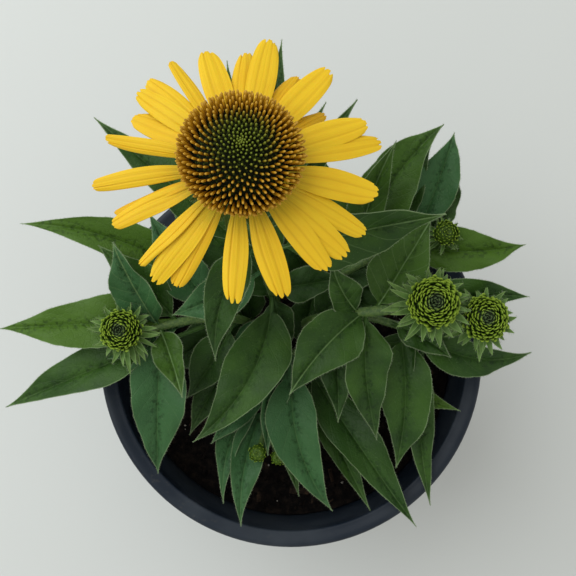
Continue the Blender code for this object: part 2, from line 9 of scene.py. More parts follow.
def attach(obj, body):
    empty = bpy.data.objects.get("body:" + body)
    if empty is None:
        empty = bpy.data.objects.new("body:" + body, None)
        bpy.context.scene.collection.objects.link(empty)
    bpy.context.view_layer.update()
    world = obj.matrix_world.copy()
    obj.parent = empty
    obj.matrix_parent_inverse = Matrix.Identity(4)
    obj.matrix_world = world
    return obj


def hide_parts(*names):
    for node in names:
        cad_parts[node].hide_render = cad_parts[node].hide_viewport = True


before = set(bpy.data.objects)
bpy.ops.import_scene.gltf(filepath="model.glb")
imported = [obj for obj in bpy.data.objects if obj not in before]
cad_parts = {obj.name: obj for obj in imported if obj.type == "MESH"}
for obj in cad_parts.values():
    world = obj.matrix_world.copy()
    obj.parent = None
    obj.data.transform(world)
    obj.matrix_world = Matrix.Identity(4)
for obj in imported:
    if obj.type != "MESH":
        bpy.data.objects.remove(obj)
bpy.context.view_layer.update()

# The view and the light: one looks down on the plant with a slight tilt, from arm's length. A wide window
# on the left gives soft daylight, and the pale table top and walls fill in the rest.
VIEW_PLACE = (-0.0015, -0.0153, 0.5971)
VIEW_TILT = math.radians(6)
VIEW_LENS = 56.25
WINDOW_PLACE = Vector((-0.95, 0.55, 1.35))
WINDOW_SIZE = 1.8
WINDOW_POWER = 21
DAYLIGHT = (0.95, 0.985, 1.0)
ROOM_LIGHT = (1.0, 0.99, 0.955)
ROOM_STRENGTH = 0.66
TABLE_COLOUR = (0.645, 0.67, 0.65)
TABLE_SHADE = 0.93
TABLE_WIDTH = 6
TABLE_GAP = 0.0001

bpy.ops.object.camera_add(location=VIEW_PLACE, rotation=(VIEW_TILT, 0, 0))
camera = bpy.context.object
camera.data.sensor_width = 36
camera.data.lens = VIEW_LENS
bpy.context.scene.camera = camera
bpy.context.scene.view_settings.view_transform = "Standard"

facing = (-WINDOW_PLACE).to_track_quat("-Z", "Y").to_euler()
bpy.ops.object.light_add(type="AREA", location=WINDOW_PLACE, rotation=facing)
window = bpy.context.object
window.data.size = WINDOW_SIZE
window.data.energy = WINDOW_POWER
window.data.color = DAYLIGHT

room = bpy.data.worlds.new("room")
room.use_nodes = True
room.node_tree.nodes["Background"].inputs["Color"].default_value = (*ROOM_LIGHT, 1)
room.node_tree.nodes["Background"].inputs["Strength"].default_value = ROOM_STRENGTH
bpy.context.scene.world = room


def new_finish(name):
    """A new material, with its node tree and its shader."""
    made = bpy.data.materials.new(name)
    made.use_nodes = True
    return made, made.node_tree, made.node_tree.nodes["Principled BSDF"]


def feed(tree, socket, value):
    """Give a socket another node's output, a colour or a plain number."""
    if isinstance(value, bpy.types.NodeSocket):
        tree.links.new(value, socket)
    elif socket.type == "RGBA":
        socket.default_value = (*value, 1)
    else:
        socket.default_value = value


def coat(tree, shader, colour, roughness, shine=0.5):
    """Give a finish its colour, how rough it is and how strongly it shines."""
    feed(tree, shader.inputs["Base Color"], colour)
    feed(tree, shader.inputs["Roughness"], roughness)
    shader.inputs["Specular IOR Level"].default_value = shine


def add_node(tree, kind, inputs, **settings):
    """A node of a finish, with what it is set to and what its sockets take."""
    made = tree.nodes.new("ShaderNode" + kind)
    for key, value in settings.items():
        setattr(made, key, value)
    for key, value in inputs.items():
        feed(tree, made.inputs[key], value)
    return made


def noise_value(tree, place, scale, detail=3.0, roughness=0.5):
    """A cloudy 0 to 1 value over the piece."""
    inputs = {"Vector": place, "Scale": scale, "Detail": detail, "Roughness": roughness}
    return add_node(tree, "TexNoise", inputs).outputs[0]


def stepped(tree, value, low, high, low_result=0.0, high_result=1.0):
    """A value that goes smoothly from one result to another while the input goes from low to high."""
    inputs = {"Value": value, "From Min": low, "From Max": high, "To Min": low_result, "To Max": high_result}
    return add_node(tree, "MapRange", inputs, interpolation_type="SMOOTHSTEP").outputs[0]


def calc(tree, operation, *values):
    return add_node(tree, "Math", dict(enumerate(values)), operation=operation).outputs[0]


def mixed(tree, share, first, second):
    """The second colour over the first, by a share."""
    return add_node(tree, "Mix", {0: share, 6: first, 7: second}, data_type="RGBA").outputs[2]


def object_place(tree):
    return tree.nodes.new("ShaderNodeTexCoord").outputs["Object"]


def set_relief(tree, shader, height, strength, distance):
    """Raise the finish by a height value, up to a distance in metres."""
    made = add_node(tree, "Bump", {"Height": height, "Strength": strength, "Distance": distance})
    tree.links.new(made.outputs[0], shader.inputs["Normal"])


def table_finish():
    made, tree, shader = new_finish("pale_table")
    place = object_place(tree)
    cloud = noise_value(tree, place, 2.2, 2)
    colour = mixed(tree, cloud, TABLE_COLOUR, tuple(TABLE_SHADE * part for part in TABLE_COLOUR))
    coat(tree, shader, colour, 0.6)
    return made


bpy.ops.mesh.primitive_plane_add(size=TABLE_WIDTH, location=(0, 0, -TABLE_GAP))
table = bpy.context.object
table.name = "table_top"
table.data.materials.append(table_finish())

# Nursery pot: one thin skin of black plastic, blown in a mould. Its wall tapers to a foot ring with drain
# holes inside it, its lip is turned out and down to stiffen the mouth, and an upright collar stands inside
# and below the lip.
MM = 0.001
POT_HEIGHT = 150
WALL_HEIGHT = 145
RIM_RADIUS = 95
LIP_INNER_RADIUS = 89.8
COLLAR_RADIUS = 87.0
COLLAR_FOOT = 134
BASE_RADIUS = 66
POT_WALL = 1.5
POT_FLOOR = 3
FOOT_ROUND = 1.5
LIP_ROUND = 2.2
SKIRT_ROUND = 0.7
SKIRT_DROP = 15
COLLAR_ROUND = 1.2
RECESS_RISE = 1.5
BEAD_RISE = 0.45
BEAD_HALF = 1.6
BEAD_FLAT = 0.5
BEAD_HEIGHTS = (14, 126)
POT_SIDES = 144
SOIL_LINE = 118
DRAIN_HOLES = 6
DRAIN_RADIUS = 4
DRAIN_RING = 45
DRAIN_SIDES = 28
DRILL_LENGTH = 8
DRILL_HEIGHT = 2
POT_BLACK = (0.010, 0.016, 0.026)
POT_WORN = (0.026, 0.034, 0.044)
POT_DUST = (0.085, 0.078, 0.066)


def pick(piece, *others):
    """Select a piece, others with it if they are named, and nothing else."""
    bpy.ops.object.select_all(action="DESELECT")
    for chosen in (piece, *others):
        chosen.select_set(True)
    bpy.context.view_layer.objects.active = piece


def settle(piece, name):
    """Name a piece and write its place and size into its mesh, so that its object lies at the origin."""
    pick(piece)
    bpy.ops.object.transform_apply(location=True, rotation=True, scale=True)
    piece.name = piece.data.name = name
    return piece


def turned(name, profile, sides):
    """A round piece: half its section in millimetres, drawn point by point and spun about the +Z axis."""
    bpy.ops.object.select_all(action="DESELECT")
    bpy.ops.mesh.primitive_plane_add(size=MM)
    piece = bpy.context.object
    bpy.ops.object.mode_set(mode="EDIT")
    bpy.ops.mesh.merge(type="CENTER")
    bpy.ops.transform.translate(value=(profile[0][0] * MM, 0, profile[0][1] * MM))
    for (radius, height), (next_radius, next_height) in zip(profile, profile[1:]):
        step = ((next_radius - radius) * MM, 0, (next_height - height) * MM)
        bpy.ops.mesh.extrude_vertices_move(TRANSFORM_OT_translate={"value": step})
    bpy.ops.mesh.select_all(action="SELECT")
    bpy.ops.mesh.spin(steps=sides, angle=math.tau, center=(0, 0, 0), axis=(0, 0, 1))
    bpy.ops.mesh.select_all(action="SELECT")
    bpy.ops.mesh.remove_doubles(threshold=0.01 * MM)
    bpy.ops.mesh.normals_make_consistent(inside=False)
    bpy.ops.object.mode_set(mode="OBJECT")
    return settle(piece, name)


def arc(centre, radius, start, stop, steps=5):
    """Points of a rounded corner of a section, from one angle to another in degrees."""
    turns = [math.radians(start + (stop - start) * step / steps) for step in range(steps + 1)]
    return [(centre[0] + radius * math.cos(turn), centre[1] + radius * math.sin(turn)) for turn in turns]


def apply_modifier(piece, kind, **settings):
    """Put a modifier on a piece and apply it at once."""
    pick(piece)
    added = piece.modifiers.new(kind.lower(), kind)
    for key, value in settings.items():
        setattr(added, key, value)
    bpy.ops.object.modifier_apply(modifier=added.name)


def smooth(piece, degrees=40):
    """Shade a piece smooth, but for edges sharper than so many degrees."""
    pick(piece)
    bpy.ops.object.shade_smooth_by_angle(angle=math.radians(degrees))


def dress(piece, finish, slot, *nodes):
    """Give a piece its finish, fix it to the pot and let it stand for its solids."""
    piece.data.materials.clear()
    piece.data.materials.append(finish)
    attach(piece, "root")
    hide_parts(*nodes)


def pot_plastic_finish():
    made, tree, shader = new_finish("pot_plastic_finish")
    place = object_place(tree)
    cloud = noise_value(tree, place, 30, 4)
    colour = mixed(tree, stepped(tree, cloud, 0.35, 0.7), POT_BLACK, POT_WORN)
    speck = noise_value(tree, place, 420, 2)
    patch = noise_value(tree, place, 24, 3)
    dust = calc(tree, "MULTIPLY", stepped(tree, speck, 0.56, 0.72), stepped(tree, patch, 0.45, 0.7, 0, 0.3))
    colour = mixed(tree, dust, colour, POT_DUST)
    coat(tree, shader, colour, stepped(tree, cloud, 0.3, 0.75, 0.34, 0.52), 0.2)
    fine = noise_value(tree, place, 900, 3)
    set_relief(tree, shader, fine, 0.25, 0.0001)
    return made


def wall_radius(height):
    """The outside of the tapered wall at a height."""
    slope = (LIP_INNER_RADIUS + POT_WALL - BASE_RADIUS) / WALL_HEIGHT
    return BASE_RADIUS + slope * (height - 1)


def build_pot():
    foot = POT_HEIGHT - SKIRT_DROP
    wall = [(wall_radius(2), 2)]
    for height in BEAD_HEIGHTS:
        radius = wall_radius(height)
        wall += [(radius - 0.1, height - BEAD_HALF), (radius + BEAD_RISE, height - BEAD_FLAT)]
        wall += [(radius + BEAD_RISE + 0.1, height + BEAD_FLAT), (radius + 0.2, height + BEAD_HALF)]
    # Under the floor, round the foot ring and up the outside of the wall.
    section = [(0, RECESS_RISE), (DRAIN_RING + 8, RECESS_RISE)]
    section += arc((DRAIN_RING + 11.5, 1.2), 1.2, 170, 270, 3)
    section += arc((BASE_RADIUS - 1.4, FOOT_ROUND), FOOT_ROUND, -90, 0, 4) + wall
    # Under the lip, down inside its skirt, round the skirt's edge, and up and over to the mouth.
    section += arc((wall_radius(POT_HEIGHT - 4) + 1.1, POT_HEIGHT - 5.1), 1.1, 180, 0, 6)
    section += arc((RIM_RADIUS - SKIRT_ROUND, foot + SKIRT_ROUND), SKIRT_ROUND, 180, 360, 5)
    section += arc((RIM_RADIUS - LIP_ROUND, POT_HEIGHT - LIP_ROUND), LIP_ROUND, 0, 90, 6)
    section += [(RIM_RADIUS - 3.6, POT_HEIGHT - 0.3), (LIP_INNER_RADIUS, POT_HEIGHT - 0.7)]
    # Down the collar and the inside of the wall to the floor.
    section += arc((COLLAR_RADIUS + COLLAR_ROUND, POT_HEIGHT - 2.2), COLLAR_ROUND, 80, 180, 5)
    section += [(COLLAR_RADIUS - 0.4, COLLAR_FOOT), (COLLAR_RADIUS - 1.2, COLLAR_FOOT - 1.6)]
    section += [(wall_radius(SOIL_LINE) - POT_WALL - 0.4, SOIL_LINE), (wall_radius(60) - POT_WALL - 0.3, 60)]
    section += arc((BASE_RADIUS - POT_WALL - 2.6, POT_FLOOR + 2), 2, 0, -90, 4) + [(0, POT_FLOOR)]
    pot = turned("pot_shell", section, POT_SIDES)
    for number in range(DRAIN_HOLES):
        turn = math.tau * (number + 0.5) / DRAIN_HOLES
        spot = (DRAIN_RING * MM * math.cos(turn), DRAIN_RING * MM * math.sin(turn), DRILL_HEIGHT * MM)
        bpy.ops.mesh.primitive_cylinder_add(
            vertices=DRAIN_SIDES, radius=DRAIN_RADIUS * MM, depth=DRILL_LENGTH * MM, location=spot
        )
        cutter = bpy.context.object
        apply_modifier(pot, "BOOLEAN", operation="DIFFERENCE", object=cutter)
        bpy.data.objects.remove(cutter)
    smooth(pot)
    dress(pot, pot_plastic_finish(), "pot_plastic", "nursery_pot")


build_pot()

# Potting soil: dark peat pressed into the pot to 32 mm under its rim, with crumbs, bark chips and a few pale
# specks of perlite lying on it. It follows the tapered wall down to the floor.
SOIL_RADIUS = 83.6
SOIL_FOOT_RADIUS = 63.4
SOIL_RINGS = 34
SOIL_SIDES = 110
SOIL_LUMP = 2.6
SOIL_GRAIN = 0.35
CRUMBS = 1500
CRUMB_LEAST = 0.35
CRUMB_SINK = 0.1
BARK_CHIPS = 150
CHIP_SHAPE = (2.6, 1.1, 0.45)
CHIP_SIZES = (0.5, 1.5)
PERLITE_SPECKS = 60
SPECK_SIZES = (0.3, 0.9)
SOIL_DARK = (0.0035, 0.003, 0.003)
SOIL_BROWN = (0.017, 0.012, 0.009)
BARK_BROWN = (0.055, 0.034, 0.021)
PERLITE_GREY = (0.3, 0.28, 0.24)
PERLITE_WHITE = (0.42, 0.40, 0.36)
soil_draw = random.Random(11)


def soil_finish(name, dark, light, scale):
    made, tree, shader = new_finish(name)
    place = object_place(tree)
    coarse = noise_value(tree, place, scale, 6, 0.7)
    colour = mixed(tree, stepped(tree, coarse, 0.4, 0.72), dark, light)
    coat(tree, shader, colour, 0.95, 0.08)
    set_relief(tree, shader, noise_value(tree, place, scale * 4, 5, 0.75), 0.9, 0.0006)
    return made


def soil_height(x, y):
    """The lumpy height of the soil in millimetres, at a place in millimetres."""
    wide = noise.noise(Vector((x * 0.045, y * 0.045, 3.1)))
    small = noise.noise(Vector((x * 0.21, y * 0.21, 8.4)))
    return SOIL_LINE + SOIL_LUMP * 0.55 * wide + SOIL_LUMP * 0.3 * small


def copies_of(blank, name, places):
    """One mesh of many copies of a blank, each put down by its own matrix."""
    spots = [vert.co.copy() for vert in blank.data.vertices]
    corners = [tuple(face.vertices) for face in blank.data.polygons]
    points = []
    faces = []
    for place in places:
        start = len(points)
        points += [place @ spot for spot in spots]
        faces += [tuple(start + corner for corner in face) for face in corners]
    mesh = bpy.data.meshes.new(name)
    mesh.from_pydata(points, [], faces)
    made = bpy.data.objects.new(name, mesh)
    bpy.context.scene.collection.objects.link(made)
    bpy.data.objects.remove(blank)
    return made


def soil_spot(sunk):
    """A random place on the soil, sunk in by so many millimetres."""
    radius = SOIL_RADIUS * 0.97 * math.sqrt(soil_draw.random())
    turn = soil_draw.uniform(0, math.tau)
    x = radius * math.cos(turn)
    y = radius * math.sin(turn)
    return Vector((x, y, soil_height(x, y) - sunk)) * MM


def tumbled(place, size):
    """A matrix that puts a small thing down anyhow, at about so many times its size in millimetres."""
    spun = Matrix.Rotation(soil_draw.uniform(0, math.tau), 4, "Z")
    tipped = Matrix.Rotation(soil_draw.gauss(0, 0.5), 4, "X")
    stretch = Matrix.Diagonal((*(size * soil_draw.uniform(0.7, 1.3) * MM for _ in range(3)), 1))
    return Matrix.Translation(place) @ (spun @ tipped) @ stretch


def crumb_size():
    return abs(soil_draw.gauss(0.5, 0.5)) + CRUMB_LEAST


def chip_size():
    return soil_draw.uniform(*CHIP_SIZES)


def speck_size():
    return soil_draw.uniform(*SPECK_SIZES)


def scatter(blank, name, count, sunk, size, finish):
    """So many copies of a blank lying about on the soil, where size draws how large the next one is."""
    places = [tumbled(soil_spot(sunk), size()) for _ in range(count)]
    dress(copies_of(blank, name, places), finish, "soil_earth")


def build_soil():
    section = [(0, POT_FLOOR + 0.3), (SOIL_FOOT_RADIUS - 2, POT_FLOOR + 0.3)]
    section += [(SOIL_FOOT_RADIUS, POT_FLOOR + 3), (SOIL_RADIUS, SOIL_LINE)]
    for ring in range(SOIL_RINGS - 1, -1, -1):
        section.append((SOIL_RADIUS * ring / SOIL_RINGS, SOIL_LINE))
    soil = turned("soil_bed", section, SOIL_SIDES)
    for vert in soil.data.vertices:
        if vert.co.z > (SOIL_LINE - 0.1) * MM:
            vert.co.z = soil_height(vert.co.x / MM, vert.co.y / MM) * MM
            vert.co.z += soil_draw.uniform(-SOIL_GRAIN, SOIL_GRAIN) * MM
    smooth(soil, 50)
    dress(soil, soil_finish("peat_finish", SOIL_DARK, SOIL_BROWN, 260), "soil_earth", "potting_soil")
    bpy.ops.mesh.primitive_ico_sphere_add(subdivisions=1, radius=1)
    finish = soil_finish("crumb_finish", SOIL_DARK, SOIL_BROWN, 500)
    scatter(bpy.context.object, "soil_crumbs", CRUMBS, CRUMB_SINK, crumb_size, finish)
    bpy.ops.mesh.primitive_cube_add(size=2)
    chip = bpy.context.object
    chip.scale = CHIP_SHAPE
    settle(chip, "chip")
    apply_modifier(chip, "BEVEL", width=0.3, segments=1)
    finish = soil_finish("bark_finish", SOIL_BROWN, BARK_BROWN, 380)
    scatter(chip, "bark_chips", BARK_CHIPS, 0, chip_size, finish)
    bpy.ops.mesh.primitive_ico_sphere_add(subdivisions=1, radius=1)
    finish = soil_finish("perlite_finish", PERLITE_GREY, PERLITE_WHITE, 700)
    scatter(bpy.context.object, "perlite_specks", PERLITE_SPECKS, 0, speck_size, finish)


build_soil()

# Stems: round green shoots with fine ridges and short stiff hairs. Each comes up out of the soil and bends
# out to its head or its leaves, and two of them fork.
STEM_STEPS = 9
STEM_SIDES = 14
HAIRS_PER_STEM = 260
BARE_FOOT = 0.12
STEM_HAIR = 0.07
STEM_GREEN = (0.045, 0.105, 0.018)
STEM_PALE = (0.10, 0.17, 0.035)
STEM_RED = (0.075, 0.055, 0.022)
HAIR_PALE = (0.32, 0.38, 0.25)
# Each stem: its radius at the foot in millimetres, the share of it left at the end, and the points, also in
# millimetres, that it passes through from inside the soil or inside its parent stem.
STEMS = {
    "flower_stem": (
        2.4, 0.75,
        [(-6, 22, 98), (-6, 22, 122), (-9, 28, 165), (-15, 44, 215), (-18.2, 59.3, 262), (-18.7, 60.4, 282)],
    ),
    "twin_bud_stem": (
        2.5, 0.96,
        [(6, 14, 98), (6, 14, 122), (11, 15, 163), (28, 16, 186), (50, 18, 196), (61, 19, 203)],
    ),
    "side_branch": (1.9, 0.9, [(28, 16, 186), (40, 14, 180), (55, 10, 178), (71, 9, 184), (86, 13, 195)]),
    "left_bud_stem": (
        2.2, 0.85,
        [(-17, 12, 98), (-17, 12, 122), (-25, 15, 164), (-46, 14, 177), (-67, 9, 181), (-76, 8, 188)],
    ),
    "upper_bud_stem": (
        2.1, 0.75,
        [(11, 28, 98), (11, 28, 122), (26, 38, 160), (52, 50, 174), (67, 53, 177), (71, 53, 184)],
    ),
    "front_left_shoot": (
        1.9, 0.75,
        [(-10, -2, 98), (-10, -2, 122), (-11, -20, 141), (-14, -42, 149), (-16, -49, 155)],
    ),
    "small_bud_twig": (1.3, 0.85, [(-13, -36, 147), (-9, -45, 150), (-6, -51, 155)]),
    "front_right_shoot": (2.1, 0.75, [(5, 0, 98), (5, 0, 122), (3, 0, 150), (2, -1, 168)]),
}
GROWN_FROM = {"side_branch": "twin_bud_stem", "small_bud_twig": "front_left_shoot"}
stem_draw = random.Random(5)


def curve_through(points, steps, lead_in):
    """A smooth path through every point, with so many steps from one to the next. It arrives from lead_in."""
    ends = [lead_in] + points + [points[-1] * 2 - points[-2]]
    path = []
    for before, start, stop, after in zip(ends, ends[1:], ends[2:], ends[3:]):
        for step in range(steps):
            t = step / steps
            path.append(
                0.5 * (
                    2 * start
                    + (stop - before) * t
                    + (2 * before - 5 * start + 4 * stop - after) * t * t
                    + (3 * start - before - 3 * stop + after) * t * t * t
                )
            )
    path.append(points[-1])
    return path


def stem_path(name):
    route = [Vector(point) * MM for point in STEMS[name][2]]
    if name in GROWN_FROM:
        return curve_through(route, STEM_STEPS, route[0] * 2 - route[1])
    return [route[0]] + curve_through(route[1:], STEM_STEPS, route[0])


def point_along(path, share):
    """The point at a share of a path's length, and the direction of travel there."""
    lengths = [(after - before).length for before, after in zip(path, path[1:])]
    left = share * sum(lengths)
    for length, start, stop in zip(lengths, path, path[1:]):
        if left <= length:
            return start.lerp(stop, left / length), (stop - start).normalized()
        left -= length
    return path[-1].copy(), (path[-1] - path[-2]).normalized()


def tube_along(name, path, radii, sides):
    """A round tube drawn as a curve with a bevel, then made a mesh."""
    curve = bpy.data.curves.new(name, "CURVE")
    curve.dimensions = "3D"
    curve.bevel_depth = 1
    curve.bevel_resolution = sides // 2 - 1
    curve.use_fill_caps = True
    line = curve.splines.new("POLY")
    line.points.add(len(path) - 1)
    for point, place, radius in zip(line.points, path, radii):
        point.co = (*place, 1)
        point.radius = radius
    piece = bpy.data.objects.new(name, curve)
    bpy.context.scene.collection.objects.link(piece)
    pick(piece)
    bpy.ops.object.convert(target="MESH")
    return bpy.context.object


def joined(name, pieces):
    """Several pieces made one."""
    pick(*pieces)
    bpy.ops.object.join()
    pieces[0].name = pieces[0].data.name = name
    return pieces[0]


def stem_finish():
    made, tree, shader = new_finish("stem_finish")
    place = object_place(tree)
    streaks = add_node(tree, "Mapping", {"Vector": place, "Scale": (900, 900, 60)}).outputs[0]
    ridge = noise_value(tree, streaks, 1, 2)
    cloud = noise_value(tree, place, 45, 3)
    colour = mixed(tree, stepped(tree, ridge, 0.35, 0.7), STEM_GREEN, STEM_PALE)
    colour = mixed(tree, stepped(tree, cloud, 0.58, 0.78, 0, 0.5), colour, STEM_RED)
    coat(tree, shader, colour, 0.55)
    set_relief(tree, shader, ridge, 0.6, 0.0003)
    return made


def plain_hair_finish():
    made, tree, shader = new_finish("hair_finish")
    tone = noise_value(tree, object_place(tree), 300, 1)
    colour = mixed(tree, tone, HAIR_PALE, tuple(0.6 * part for part in HAIR_PALE))
    coat(tree, shader, colour, 0.6)
    return made


STEM_FINISH = stem_finish()
HAIR_FINISH = plain_hair_finish()


def hair_copies(name, places):
    """Many hairs as one piece, each a slim three-sided point of unit size put down by its own matrix."""
    bpy.ops.object.select_all(action="DESELECT")
    bpy.ops.mesh.primitive_cone_add(vertices=3, radius1=1, radius2=0, depth=1, location=(0, 0, 0.5))
    return copies_of(settle(bpy.context.object, "hair"), name, places)


def standing(spot, out, thick, length):
    """A matrix that stands a slim thing of unit size on a spot, pointing out from it."""
    turn = out.to_track_quat("Z", "Y").to_matrix().to_4x4()
    return Matrix.Translation(spot) @ turn @ Matrix.Diagonal((thick, thick, length, 1))


def stem_hairs(name):
    """Short stiff hairs all along a stem."""
    radius, taper, _ = STEMS[name]
    path = stem_path(name)
    places = []
    for _ in range(HAIRS_PER_STEM):
        share = stem_draw.uniform(0 if name in GROWN_FROM else BARE_FOOT, 0.97)
        spot, along = point_along(path, share)
        side = along.orthogonal().normalized()
        out = Matrix.Rotation(stem_draw.uniform(0, math.tau), 3, along) @ side
        lean = (out + along * stem_draw.uniform(-0.2, 0.5)).normalized()
        here = radius * MM * (1 - (1 - taper) * share)
        length = stem_draw.uniform(0.8, 1.5) * MM
        places.append(standing(spot + out * here * 0.9, lean, STEM_HAIR * MM, length))
    return hair_copies(name + "_hairs", places)


def build_stems():
    made = {}
    for name, (radius, taper, _) in STEMS.items():
        path = stem_path(name)
        last = len(path) - 1
        radii = [radius * MM * (1 - (1 - taper) * i / last) for i in range(last + 1)]
        trunk = GROWN_FROM.get(name, name)
        made.setdefault(trunk, []).append(tube_along(name, path, radii, STEM_SIDES))
    for trunk, tubes in made.items():
        stalk = joined(trunk + "_stalk", tubes)
        smooth(stalk, 60)
        dress(stalk, STEM_FINISH, "leaf_green", trunk)
        down = [stem_hairs(name) for name in STEMS if GROWN_FROM.get(name, name) == trunk]
        dress(joined(trunk + "_down", down), HAIR_FINISH, "leaf_green")


build_stems()

# Leaves: lance-shaped blades on short stalks, rough with short hairs. Each is folded a little along a sunken
# midrib, quilted between its side veins, waved along its pale hairy edge, and arched from its stem to its
# point. The lowest, in the shade between the stems, have that shade painted on as a darker green.
LEAF_STEPS = 60
LEAF_COLUMNS = 20
LEAF_SKIN = 0.45
LEAF_FOLD = math.tan(math.radians(17))
LEAF_WAVE = 1.3
LEAF_UNEVEN = 0.1
LEAF_RAGGED = 0.035
LEAF_BUCKLE = 0.8
RIB_SINK = 0.6
RIB_SWELL = 1.6
QUILT_RISE = 0.32
VEIN_PAIRS = 7
VEIN_LEAN = 0.2
VEIN_CURVE = 1.3
STALK_HALF = 1.0
EDGE_HAIRS = 3
EDGE_HAIR = 0.055
# The darkest green is painted shade in the wrinkles beside the midrib.
LEAF_WRINKLE_SHADE = (0.006, 0.022, 0.004)
# The deep green is both a random tone of the leaves and the painted shade of the lowest ones.
LEAF_DEEP_TONE_AND_SHADE = (0.017, 0.052, 0.007)
LEAF_MID = (0.036, 0.092, 0.011)
# The fresh green is partly the young leaves' own colour and partly painted light shining through them.
LEAF_FRESH_AND_BACKLIT = (0.062, 0.135, 0.011)
LEAF_BLUE = (0.036, 0.110, 0.038)
LEAF_UNDER = (0.060, 0.120, 0.045)
VEIN_PALE = (0.16, 0.26, 0.10)
EDGE_PALE = (0.24, 0.34, 0.16)
